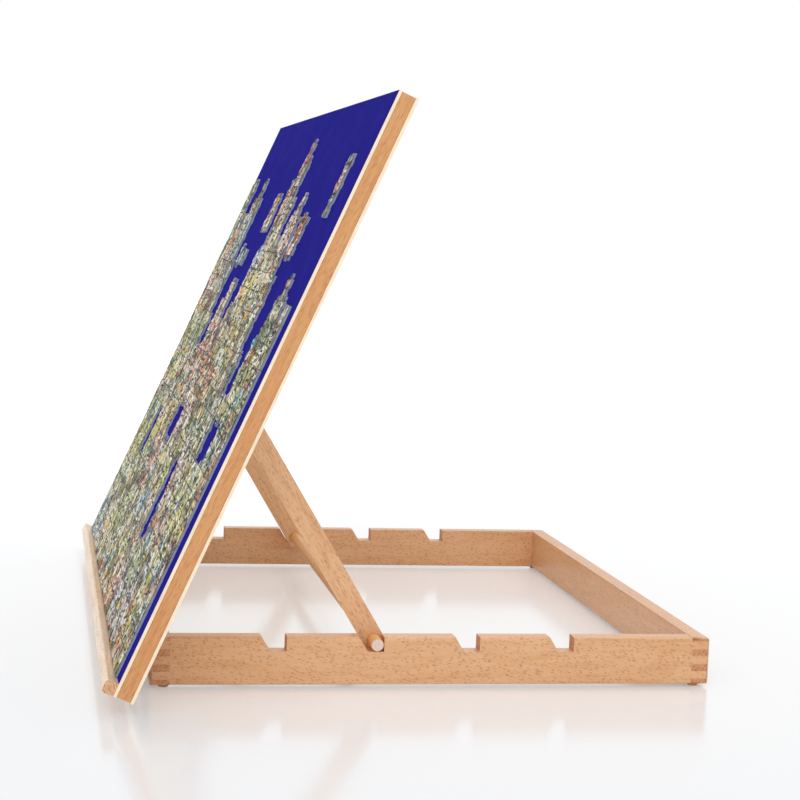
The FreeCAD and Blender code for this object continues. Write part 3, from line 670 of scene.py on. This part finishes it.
def rail_rounding(middle, direction):
    """Rounding of a rail's edges: the frame's outer edges most, finger joints none."""
    x, y, z = middle.T
    outer = near(x, BASE_LOW[0], BASE_HIGH[0]).astype(int) + near(y, BASE_LOW[1], BASE_HIGH[1])
    on_rim = near(z, BASE_LOW[2], BASE_HIGH[2])
    upright = np.abs(direction[:, 2]) > 0.9
    joint = RAIL_THICKNESS + 0.1 * MM
    in_joint = ((np.abs(x) > BASE_HIGH[0] - joint)
                & ((y < BASE_LOW[1] + joint) | (y > BASE_HIGH[1] - joint)))
    size = np.where(in_joint & ~on_rim, 0.0, wood().inner)
    size = np.where((on_rim & (outer > 0)) | (upright & (outer > 1)), wood().corner, size)
    return np.where(near(z, BASE_LOW[2]) & (outer > 0), wood().under, size)


class JIGSAW_BOARD_OT_rails(bpy.types.Operator):
    """Make the four rails of the base frame, finger-jointed at the corners"""

    bl_idname = "jigsaw_board.rails"
    bl_label = "Base rails"

    def execute(self, context):
        for node, name, turn, ends, shift in (
                ("base_side_rail_right", "side_rail_right", ALONG_Y, (0, 1, 0), (40, 3, 0)),
                ("base_side_rail_left", "side_rail_left", ALONG_Y, (0, 1, 0), (910, 160, 9)),
                ("base_front_rail", "front_rail", ALONG_X, (1, 0, 0), (330, 71, 5)),
                ("base_rear_rail", "rear_rail", ALONG_X, (1, 0, 0), (1530, 240, 31))):
            wooden_piece(node, name, "base", turn, shift, ends, wood().corner,
                         rule=rail_rounding, segments=3, slant=-0.35)
        return {"FINISHED"}


# Sizes of the small turned forms and the rounding of the small worked ones
FOOT_RADIUS, FOOT_WAIST, FOOT_TREAD, FOOT_RIM = 5.5 * MM, 5.2 * MM, 4.5 * MM, 1.3 * MM
SCREW_SHANK, SCREW_HEAD, SCREW_RECESS = 1.5 * MM, 1.5 * MM, 1.3 * MM
BOLT_SHANK, BOLT_HEAD, BOLT_RECESS, BOLT_TIP = 2.5 * MM, 2.5 * MM, 1.5 * MM, 0.5 * MM
PIN_DOME, DOWEL_CHAMFER = 0.5 * MM, 0.7 * MM
LEAF_EDGE, CLEAT_EDGE, WASHER_EDGE, NUT_EDGE = 0.25 * MM, 0.8 * MM, 0.15 * MM, 0.4 * MM
QUARTER = math.pi / 2


def turned_rings(profile, count):
    """Rings of a turned form: each profile point (along, radius) carried round the axis."""
    angle = np.linspace(0, 2 * math.pi, count, endpoint=False)
    along, radius = np.asarray(profile, float).T[:, :, None]
    return np.stack(np.broadcast_arrays(along, radius * np.cos(angle), radius * np.sin(angle)),
                    axis=-1)


def group_middles(values, gap=2 * MM):
    """Middles and half widths of the groups of values that lie further apart than a gap."""
    ordered = np.sort(values)
    starts = np.flatnonzero(np.diff(ordered, prepend=-np.inf) > gap)
    low = ordered[starts]
    high = np.append(ordered[starts[1:] - 1], ordered[-1])
    return (low + high) / 2, (high - low) / 2


def cross_recess(rings, reach, depth):
    """Sink a cross into the face rings of a screw, deepest in the middle.

    A point is in the cross where its distance to the nearer slot's middle line is under a
    slot's half width, and the depth falls off with the distance from the axis.
    """
    along, first, second = np.moveaxis(rings, -1, 0)
    radius = np.hypot(first, second)
    slot = np.minimum(np.abs(first), np.abs(second))
    inside = np.clip((0.16 * reach + 0.1 * (reach - radius) - slot) / (0.12 * reach), 0, 1)
    fall = np.clip(1 - radius / reach, 0, 1)
    rings[..., 0] = along - depth * inside * fall
    return rings


def turned_copies(name, rings, places, outward, sideways, materials, turns=0.0):
    """One object of a turned form at several places, each turned about its axis."""
    upward = np.cross(outward, sideways)
    turn = np.broadcast_to(turns, len(places))[:, None, None]
    along, first, second = (rings[None, ..., index] for index in range(3))
    aside = first * np.cos(turn) - second * np.sin(turn)
    above = first * np.sin(turn) + second * np.cos(turn)
    points = (np.asarray(places)[:, None, None, :] + along[..., None] * outward
              + aside[..., None] * sideways + above[..., None] * upward)
    rows, columns = rings.shape[:2]
    faces = [grid_faces(rows, columns, first=index * rows * columns, wrap=True)
             for index in range(len(places))]
    return mesh_object(name, points, faces, materials, merge=True)


class JIGSAW_BOARD_OT_feet(bpy.types.Operator):
    """Make the four bumper feet, round and tapered, with a soft lower rim"""

    bl_idname = "jigsaw_board.feet"
    bl_label = "Bumper feet"

    def execute(self, context):
        low, high = corners_of("bumper_feet")
        places = [(x, y, 0) for x in (low[0] + FOOT_RADIUS, high[0] - FOOT_RADIUS)
                  for y in (low[1] + FOOT_RADIUS, high[1] - FOOT_RADIUS)]
        turned = np.linspace(0, QUARTER, 7)
        rounded = np.stack([low[2] + FOOT_RIM * (1 - np.cos(turned)),
                            FOOT_TREAD - FOOT_RIM + FOOT_RIM * np.sin(turned)], axis=1)
        waist = low[2] + (high[2] - low[2]) * 0.7
        profile = np.concatenate([[(low[2], 0.0)], rounded,
                                  [(waist, FOOT_WAIST), (high[2], FOOT_RADIUS), (high[2], 0.0)]])
        feet = turned_copies("feet", turned_rings(profile, 40), places, UPWARD, ACROSS,
                             [clear_rubber()])
        finish_piece(feet, "base", "clear_rubber", "bumper_feet")
        return {"FINISHED"}


def fasteners(name, rings, places, outward, sideways, body, *nodes):
    """Plated copies of a turned form, each turned a little further than the last."""
    turns = np.arange(len(places)) * 1.1 + 0.4
    piece = turned_copies(name, rings, places, outward, sideways, made("zinc plating"), turns)
    return finish_piece(piece, body, "zinc_steel", *nodes)


def screw_rings(head, length):
    """A countersunk screw: cross-slotted face, cone, shank and a pointed end."""
    face = np.linspace(0, head * 0.97, 12)
    profile = ([(0.0, radius) for radius in face]
               + [(-0.12 * MM, head), (-SCREW_HEAD, SCREW_SHANK),
                  (-length + SCREW_SHANK, SCREW_SHANK), (-length, 0.0)])
    rings = turned_rings(profile, 32)
    cross_recess(rings[:len(face)], head * 0.62, SCREW_RECESS)
    return rings


class JIGSAW_BOARD_OT_plating(bpy.types.Operator):
    """Make the metal that the fittings share"""

    bl_idname = "jigsaw_board.plating"
    bl_label = "Zinc plating"

    def execute(self, context):
        zinc_plating()
        return {"FINISHED"}


class JIGSAW_BOARD_OT_hinges(bpy.types.Operator):
    """Make the hinge leaves with their knuckles, and the domed pins through them"""

    bl_idname = "jigsaw_board.hinges"
    bl_label = "Hinges"

    def execute(self, context):
        for body in ("base", "board"):
            plated_piece(f"hinge_{body}_leaves", f"{body}_leaves", body, LEAF_EDGE)
        middles, halves = group_middles(node_points("hinge_pins", np.zeros(3), ACROSS)[:, 0])
        radius = np.ptp(corners_of("hinge_pins"), axis=0)[2] / 2
        dome = np.linspace(0, QUARTER, 5)[::-1]
        low = np.stack([PIN_DOME * (1 - np.sin(dome)) - halves[0], radius * np.cos(dome)], axis=1)
        profile = np.concatenate([low, -low[::-1] * (1, -1)])
        places = [(x, HINGE[1], HINGE[2]) for x in middles]
        fasteners("pins", turned_rings(profile, 24), places, ACROSS, REARWARD, "base",
                  "hinge_pins")
        return {"FINISHED"}


class JIGSAW_BOARD_OT_screws(bpy.types.Operator):
    """Make the countersunk screws of the hinges, the ledge and the cleats"""

    bl_idname = "jigsaw_board.screws"
    bl_label = "Screws"

    def execute(self, context):
        for node, name, body, origin, along, outward in (
                ("hinge_screws_base", "base_screws", "base", np.zeros(3), REARWARD, UPWARD),
                ("hinge_screws_board", "board_screws", "board", HINGE, UPSLOPE, -OUTWARD),
                ("ledge_screws", "ledge_fixings", "board", HINGE, UPSLOPE, OUTWARD),
                ("cleat_screws", "cleat_fixings", "board", HINGE, UPSLOPE, -OUTWARD)):
            points = node_points(node, origin, ACROSS, along, outward)
            columns, halves = group_middles(points[:, 0])
            rows, _ = group_middles(points[:, 1])
            face = points[:, 2].max()
            places = [origin + x * ACROSS + step * along + (face - 0.05 * MM) * outward
                      for x in columns for step in rows]
            rings = screw_rings(halves[0] - 0.02 * MM, np.ptp(points[:, 2]))
            fasteners(name, rings, places, outward, ACROSS, body, node)
        return {"FINISHED"}


class JIGSAW_BOARD_OT_pivots(bpy.types.Operator):
    """Make the cleats behind the board, with the bolts, washers and nuts of the pivots"""

    bl_idname = "jigsaw_board.pivots"
    bl_label = "Pivots"

    def execute(self, context):
        for side, shift in (("right", (77, 30, 12)), ("left", (377, 82, 52))):
            wooden_piece(f"pivot_cleat_{side}", f"cleat_{side}", "board", BOARD_UP, shift,
                         UPSLOPE, CLEAT_EDGE, label=f"{side} cleat", slant=-0.2)
        plated_piece("pivot_washers", "washers", "board", WASHER_EDGE)
        plated_piece("pivot_nuts", "nuts", "board", NUT_EDGE)
        low, high = corners_of("pivot_bolts")
        end = np.abs(node_points("pivot_bolts", PIVOT, ACROSS)).min() - high[0]
        head = (high[2] - low[2]) / 2
        dome = np.linspace(0, QUARTER, 8)
        face = np.stack([BOLT_HEAD * (np.cos(dome) - 1), head * np.sin(dome)], axis=1)
        crown = np.concatenate([np.linspace((0, 0), face[2], 8), face[3:]])
        tail = [(-BOLT_HEAD, BOLT_SHANK), (end + BOLT_TIP, BOLT_SHANK),
                (end, BOLT_SHANK * 0.75), (end, 0.0)]
        rings = turned_rings(np.concatenate([crown, tail]), 40)
        cross_recess(rings[:len(crown)], head * 0.55, BOLT_RECESS)
        for side, name, nodes in ((1, "bolt_right", ["pivot_bolts"]), (-1, "bolt_left", [])):
            fasteners(name, rings, [PIVOT + high[0] * side * ACROSS], side * ACROSS, REARWARD,
                      "board", *nodes)
        return {"FINISHED"}


class JIGSAW_BOARD_OT_panel_board(bpy.types.Operator):
    """Make the board: beech frame between two pale sheets, and the ledge at its foot"""

    bl_idname = "jigsaw_board.board"
    bl_label = "Board and ledge"

    def execute(self, context):
        for node, name, turn, ends, shift in (
                ("board_stile_right", "stile_right", BOARD_UP, UPSLOPE, (210, 44, 6)),
                ("board_stile_left", "stile_left", BOARD_UP, UPSLOPE, (120, 190, 26)),
                ("board_top_rail", "top_rail", BOARD_X, ACROSS, (560, 9, 16)),
                ("board_bottom_rail", "bottom_rail", BOARD_X, ACROSS, (60, 39, 86)),
                ("board_cross_rail", "cross_rail", BOARD_X, ACROSS, (160, 339, 46))):
            wooden_piece(node, name, "board", turn, shift, ends, wood().joint,
                         ground=wood().golden, streak=wood().rosy, **CALM_GRAIN)
        # Painted light: the ledge takes the paler ground and streaks, for the light that whitens its outer face.
        wooden_piece("puzzle_ledge", "ledge", "board", BOARD_X, (730, 133, 66), ACROSS,
                     wood().edge, end_ground=wood().ground, ground=wood().pale,
                     streak=wood().lit_ledge_streak, **CALM_GRAIN)
        for name in ("front_sheet", "back_sheet"):
            worked_piece(f"board_{name}", name, "board", "pale_sheet",
                         [pale_sheet(name, BOARD_X)], wood().joint)
        return {"FINISHED"}


def rim_steps(low, high, steps, rim):
    """Positions from low to high: even steps, and closer ones over a rim at both ends."""
    close = rim * (1 - np.cos(np.linspace(0, QUARTER, 5)))
    inner = np.linspace(low + rim * 2, high - rim * 2, steps)
    return np.concatenate([low + close, inner, high - close[::-1]])


class JIGSAW_BOARD_OT_felt(bpy.types.Operator):
    """Make the felt: a thin pad whose face falls away in a quarter round at its rim"""

    bl_idname = "jigsaw_board.felt"
    bl_label = "Felt"

    def execute(self, context):
        low, high = board_span("felt_surface")
        rim, ripple = 0.7 * MM, 0.03 * MM
        x, along = np.meshgrid(rim_steps(low[0], high[0], 60, rim),
                               rim_steps(low[1], high[1], 44, rim))
        inset = np.minimum(np.minimum(x - low[0], high[0] - x),
                           np.minimum(along - low[1], high[1] - along))
        fall = np.sqrt(np.clip(1 - (1 - np.clip(inset / rim, 0, 1)) ** 2, 0, 1))
        waves = np.sin(x * 61 + along * 23) + np.sin(along * 83 - x * 37) - 2
        face = low[2] + (high[2] - low[2] + ripple * waves) * fall
        upper = on_board(x, along, face)
        lower = on_board(x, along, np.full_like(x, low[2]))
        faces = [grid_faces(*x.shape), grid_faces(*x.shape, first=x.size)[:, ::-1]]
        felt = mesh_object("felt", np.stack([upper, lower]), faces, [felt_cloth()], merge=True)
        finish_piece(felt, "board", "blue_felt", "felt_surface")
        return {"FINISHED"}


class JIGSAW_BOARD_OT_prop(bpy.types.Operator):
    """Make the two flat arms and the cross dowel with its chamfered ends"""

    bl_idname = "jigsaw_board.prop"
    bl_label = "Prop"

    def execute(self, context):
        direction = (0, math.cos(ARM_SLOPE), math.sin(ARM_SLOPE))
        for side, shift in (("right", (430, 61, 7)), ("left", (90, 261, 37))):
            wooden_piece(f"prop_arm_{side}", f"arm_{side}", "prop", ALONG_ARM, shift, direction,
                         wood().edge, label=f"{side} arm", slant=0.05, ground=wood().arm,
                         drawn_out=1.35, depth=0.42)
        half, end = DOWEL_HIGH[0], DOWEL_RADIUS - DOWEL_CHAMFER
        profile = [(-half, 0.0), (-half, end), (-half + DOWEL_CHAMFER, DOWEL_RADIUS),
                   (half - DOWEL_CHAMFER, DOWEL_RADIUS), (half, end), (half, 0.0)]
        dowel = turned_copies("dowel", turned_rings(profile, 56), [(0, *DOWEL_AXIS[1:])],
                              ACROSS, REARWARD,
                              [dowel_wood("dowel", True), dowel_wood("dowel ends", False)])
        mark_faces(dowel.data, ACROSS, 1)
        dowel.data.set_sharp_from_angle(angle=SHARP)
        finish_piece(dowel, "prop", "birch_dowel", "prop_dowel")
        return {"FINISHED"}


# Jigsaw: a grid of pieces with one knob on each inner side

# How the pieces lie, as in the CAD: column, row, width and height in pieces
COLUMNS, ROWS = 38, 26
LOOSE = ((10, 18, 3, 1), (15, 20, 2, 2), (29, 19, 2, 2), (35, 21, 1, 3))
OPEN = ((6, 6, 2, 3), (15, 8, 3, 2), (24, 4, 2, 4), (31, 9, 3, 2))
# Rows of the assembled section, and its waves: height, turn for each column and first turn
LEVEL, WAVES = 18.4, ((4.2, 0.33, 0.6), (2.8, 0.93, 1.9))


def part_mask(parts):
    """Which pieces of the grid are in a list of rectangles."""
    mask = np.zeros((COLUMNS, ROWS), bool)
    for column, row, width, height in parts:
        mask[column:column + width, row:row + height] = True
    return mask


def assembled_mask():
    """The assembled section: rows up to a sum of two waves, less the open spaces."""
    column = np.arange(COLUMNS)
    wave = sum(height * np.sin(step * column + first) for height, step, first in WAVES)
    filled = np.clip(np.round(LEVEL + wave), 5, ROWS)
    return (np.arange(ROWS)[None, :] < filled[:, None]) & ~part_mask(OPEN)


def cut_lines(start, end, knob, shift):
    """Points along each cut from start to end, with one knob to its left.

    Between the straight runs the cut follows, for g from 0 to 1, a point that moves
    forward evenly less a sine of the whole turn, and rises by half of one less its cosine,
    which makes a round knob on a narrow neck. A knob of 0 leaves the cut straight.
    """
    g = np.linspace(0, 1, 6)
    back = 0.13 * np.sin(2 * math.pi * g) * (knob != 0)[..., None]
    rise = (1 - np.cos(2 * math.pi * g)) / 2
    run = end - start
    left = np.stack([-run[..., 1], run[..., 0]], axis=-1)
    along = 0.5 + (g - 0.5) * 0.2 - back + shift[..., None]
    points = (start[..., None, :] + along[..., None] * run[..., None, :]
              + (rise * knob[..., None])[..., None] * left[..., None, :])
    return np.concatenate([start[..., None, :], points], axis=-2)


def piece_outlines(pitch):
    """The outline of every piece of the grid, anticlockwise, as columns × rows × points × 2."""
    random = np.random.default_rng(jigsaw().seed)
    column, row = np.meshgrid(np.arange(COLUMNS + 1), np.arange(ROWS + 1), indexing="ij")
    sway = random.uniform(-1, 1, (COLUMNS + 1, ROWS + 1, 2)) * jigsaw().wobble
    inner_column = (column > 0) & (column < COLUMNS)
    inner_row = (row > 0) & (row < ROWS)
    nodes = np.stack([column + sway[..., 0] * inner_column,
                      row + sway[..., 1] * inner_row], axis=-1)

    def sides(count, inner):
        knob = random.choice((-1.0, 1.0), count) * random.uniform(0.85, 1.12, count)
        return knob * jigsaw().knob * inner, random.uniform(-0.05, 0.05, count)

    level = cut_lines(nodes[:-1], nodes[1:], *sides((COLUMNS, ROWS + 1), inner_row[:-1]))
    upright = cut_lines(nodes[:, :-1], nodes[:, 1:],
                        *sides((COLUMNS + 1, ROWS), inner_column[:, :-1]))

    def backwards(line, end):
        return np.concatenate([end[..., None, :], line[..., :0:-1, :]], axis=-2)

    outline = np.concatenate([level[:, :-1], upright[1:],
                              backwards(level[:, 1:], nodes[1:, 1:]),
                              backwards(upright[:-1], nodes[:-1, 1:])], axis=-2)
    return outline * pitch


def drawn_in(outline, distance):
    """Outlines moved inwards: each point goes along the mean of its two sides' normals."""
    side = np.roll(outline, -1, axis=-2) - outline
    normal = np.stack([-side[..., 1], side[..., 0]], axis=-1)
    normal /= np.linalg.norm(normal, axis=-1, keepdims=True)
    mean = normal + np.roll(normal, 1, axis=-2)
    mean /= np.linalg.norm(mean, axis=-1, keepdims=True)
    slant = np.clip((mean * normal).sum(axis=-1, keepdims=True), 0.6, 1)
    return outline + mean * distance / slant


def jigsaw_pieces(name, mask, pitch, left, low, back, thickness, node):
    """The chosen pieces as closed plates: cut sides, a rounded shoulder and a flat face."""
    choices = jigsaw()
    random = np.random.default_rng(choices.seed + 1)
    outline = piece_outlines(pitch)[mask]
    count, corners = outline.shape[:2]
    middle = outline.mean(axis=1, keepdims=True)
    lift = random.uniform(-0.2, 0.02, (count, 1)) * MM
    lean = random.uniform(-0.12, 0.12, (count, 1, 2)) * MM / pitch
    shoulder = choices.shoulder
    rings = []
    for inset, height in ((choices.gap, 0.0), (choices.gap, thickness - shoulder * 0.7),
                          (choices.gap + shoulder, thickness)):
        flat = drawn_in(outline, inset)
        rise = lift + ((flat - middle) * lean).sum(axis=-1)
        out = back + height + (rise if height else 0.0) * np.ones((count, corners))
        rings.append(on_board(left + flat[..., 0], low + flat[..., 1], out))
    points = np.stack(rings, axis=1)
    first = np.arange(count)[:, None] * 3 * corners
    face = first + 2 * corners + np.arange(corners)
    back_face = first + np.arange(corners)[::-1]
    wall = (first[:, :, None] + grid_faces(3, corners, wrap=True)[None]).reshape(-1, 4)
    plates = mesh_object(name, points, [face, wall, back_face],
                         made("jigsaw print", "jigsaw card"), smooth=False)
    index = np.zeros(len(plates.data.polygons), np.int32)
    walls = np.tile(np.arange(2 * corners) < corners, count)
    index[count:count + len(walls)] = walls
    index[count + len(walls):] = 1
    plates.data.polygons.foreach_set("material_index", index)
    # The rim attribute marks the shoulder ring, where the print takes the painted shade of the gaps.
    rim = plates.data.attributes.new("rim", "FLOAT", "POINT")
    rim.data.foreach_set("value", np.tile(np.repeat((0.0, 1.0, 0.0), corners), count))
    # One random value for each piece, which sets its painted shade of lean.
    lean_shade = plates.data.attributes.new("lean_shade", "FLOAT", "POINT")
    lean_shade.data.foreach_set("value", np.repeat(random.uniform(0, 1, count), 3 * corners))
    return finish_piece(plates, "board", "printed_card", node)


class JIGSAW_BOARD_OT_jigsaw(bpy.types.Operator):
    """Make the part-assembled jigsaw of interlocking pieces on the felt"""

    bl_idname = "jigsaw_board.jigsaw"
    bl_label = "Jigsaw"

    def execute(self, context):
        jigsaw_print()
        jigsaw_card()
        low, high = board_span("puzzle_section")
        pitch = (high[0] - low[0]) / COLUMNS
        place = (pitch, low[0], low[1], low[2], high[2] - low[2])
        jigsaw_pieces("jigsaw_section", assembled_mask(), *place, "puzzle_section")
        jigsaw_pieces("jigsaw_clusters", part_mask(LOOSE), *place, "puzzle_clusters")
        return {"FINISHED"}


# Studio

TABLE_REACH = 9.0
SKY = (0.96, 0.98, 1, 1)


def seen_rays(start):
    """1 on rays from the camera, a mirror or glass, and 0 on the rays that carry light."""
    rays = [start.add("ShaderNodeLightPath", output=name)
            for name in ("Is Camera Ray", "Is Glossy Ray", "Is Transmission Ray")]
    return start.math("MINIMUM", rays[0] + rays[1] + rays[2], 1.0)


def white_table():
    """White glossy table. To camera and mirror rays it is partly plain white near the board, a painted light that
    lightens the shadows there, and wholly so further away.
    """
    material, place = new_material("white table")
    away = place.length().rise(600, 2000)
    seen = seen_rays(place)
    black, white = (0, 0, 0), (1, 1, 1)
    # Painted light: near the board a 0.3 share of plain white glow lifts the table's shadows; further away the
    # glow gives the even white backdrop.
    dark = ((away * 0.55 + 0.45) * seen).mix(studio().table, black)
    glow = ((away * 0.7 + 0.3) * seen).mix(black, white)
    return close_material(material, dark, 0.15, Emission_Color=glow, Emission_Strength=1.0,
                          Specular_IOR_Level=0.6)


class JIGSAW_BOARD_OT_studio(bpy.types.Operator):
    """Make the table, the even light, the two lamps and the camera"""

    bl_idname = "jigsaw_board.studio"
    bl_label = "Studio"

    def execute(self, context):
        scene, choices = context.scene, studio()
        scene.view_settings.view_transform = "Standard"
        corners = np.array([(-1, -1, 0), (1, -1, 0), (1, 1, 0), (-1, 1, 0)]) * TABLE_REACH
        table = mesh_object("table", corners, [[(0, 1, 2, 3)]], [white_table()])
        scene.collection.objects.link(table)

        world = bpy.data.worlds.new("studio")
        world.use_nodes = True
        world.node_tree.nodes.clear()
        start = Link(world.node_tree)
        light, white = (start.add("ShaderNodeBackground", {"Color": colour, "Strength": level})
                        for colour, level in ((SKY, choices.sky), ((1, 1, 1, 1), 1)))
        mixed = start.add("ShaderNodeMixShader", {0: seen_rays(start), 1: light, 2: white})
        start.add("ShaderNodeOutputWorld", {"Surface": mixed})
        scene.world = world

        for name, level, turn, spread in (
                ("overhead lamp", choices.overhead, (-0.30, -0.35, 0.0), 36),
                ("side lamp", choices.side, (0.35, 0.98, 0.0), 70)):
            lamp = bpy.data.lights.new(name, "SUN")
            lamp.energy = level
            lamp.angle = math.radians(spread)
            lamp_object = bpy.data.objects.new(name, lamp)
            lamp_object.rotation_euler = turn
            scene.collection.objects.link(lamp_object)

        camera = bpy.data.cameras.new("camera")
        camera.sensor_width = 36.0
        camera.lens = choices.lens
        camera.clip_start, camera.clip_end = 0.05, 50.0
        camera_object = bpy.data.objects.new("camera", camera)
        camera_object.location = choices.place
        camera_object.rotation_euler = choices.turn
        scene.collection.objects.link(camera_object)
        scene.camera = camera_object
        return {"FINISHED"}


# Add-on

CHOICES = (("jigsaw_board_wood", WoodChoices), ("jigsaw_board_board", BoardChoices),
           ("jigsaw_board_jigsaw", JigsawChoices), ("jigsaw_board_studio", StudioChoices))
OPERATORS = (JIGSAW_BOARD_OT_plating, JIGSAW_BOARD_OT_rails, JIGSAW_BOARD_OT_feet,
             JIGSAW_BOARD_OT_hinges, JIGSAW_BOARD_OT_screws, JIGSAW_BOARD_OT_pivots,
             JIGSAW_BOARD_OT_panel_board, JIGSAW_BOARD_OT_felt, JIGSAW_BOARD_OT_prop,
             JIGSAW_BOARD_OT_jigsaw, JIGSAW_BOARD_OT_studio)


class JIGSAW_BOARD_PT_pieces(bpy.types.Panel):
    """Lists the pieces and the choices"""

    bl_idname = "JIGSAW_BOARD_PT_pieces"
    bl_label = "Jigsaw board"
    bl_space_type = "VIEW_3D"
    bl_region_type = "UI"
    bl_category = "Jigsaw board"

    def draw(self, context):
        for operator in OPERATORS:
            self.layout.operator(operator.bl_idname)
        for name, group in CHOICES:
            box = self.layout.box()
            box.label(text=group.__name__.replace("Choices", ""))
            for choice in group.__annotations__:
                box.prop(getattr(context.scene, name), choice)


def register():
    """Register the classes and hang the choices on the scene."""
    for name, group in CHOICES:
        bpy.utils.register_class(group)
        setattr(bpy.types.Scene, name, PointerProperty(type=group))
    for owner in (*OPERATORS, JIGSAW_BOARD_PT_pieces):
        bpy.utils.register_class(owner)


def unregister():
    """Undo register."""
    for owner in (JIGSAW_BOARD_PT_pieces, *reversed(OPERATORS)):
        bpy.utils.unregister_class(owner)
    for name, group in CHOICES:
        delattr(bpy.types.Scene, name)
        bpy.utils.unregister_class(group)


def main():
    """Make everything in order."""
    register()
    for operator in OPERATORS:
        getattr(bpy.ops.jigsaw_board, operator.bl_idname.split(".")[1])()


if __name__ == "__main__":
    main()
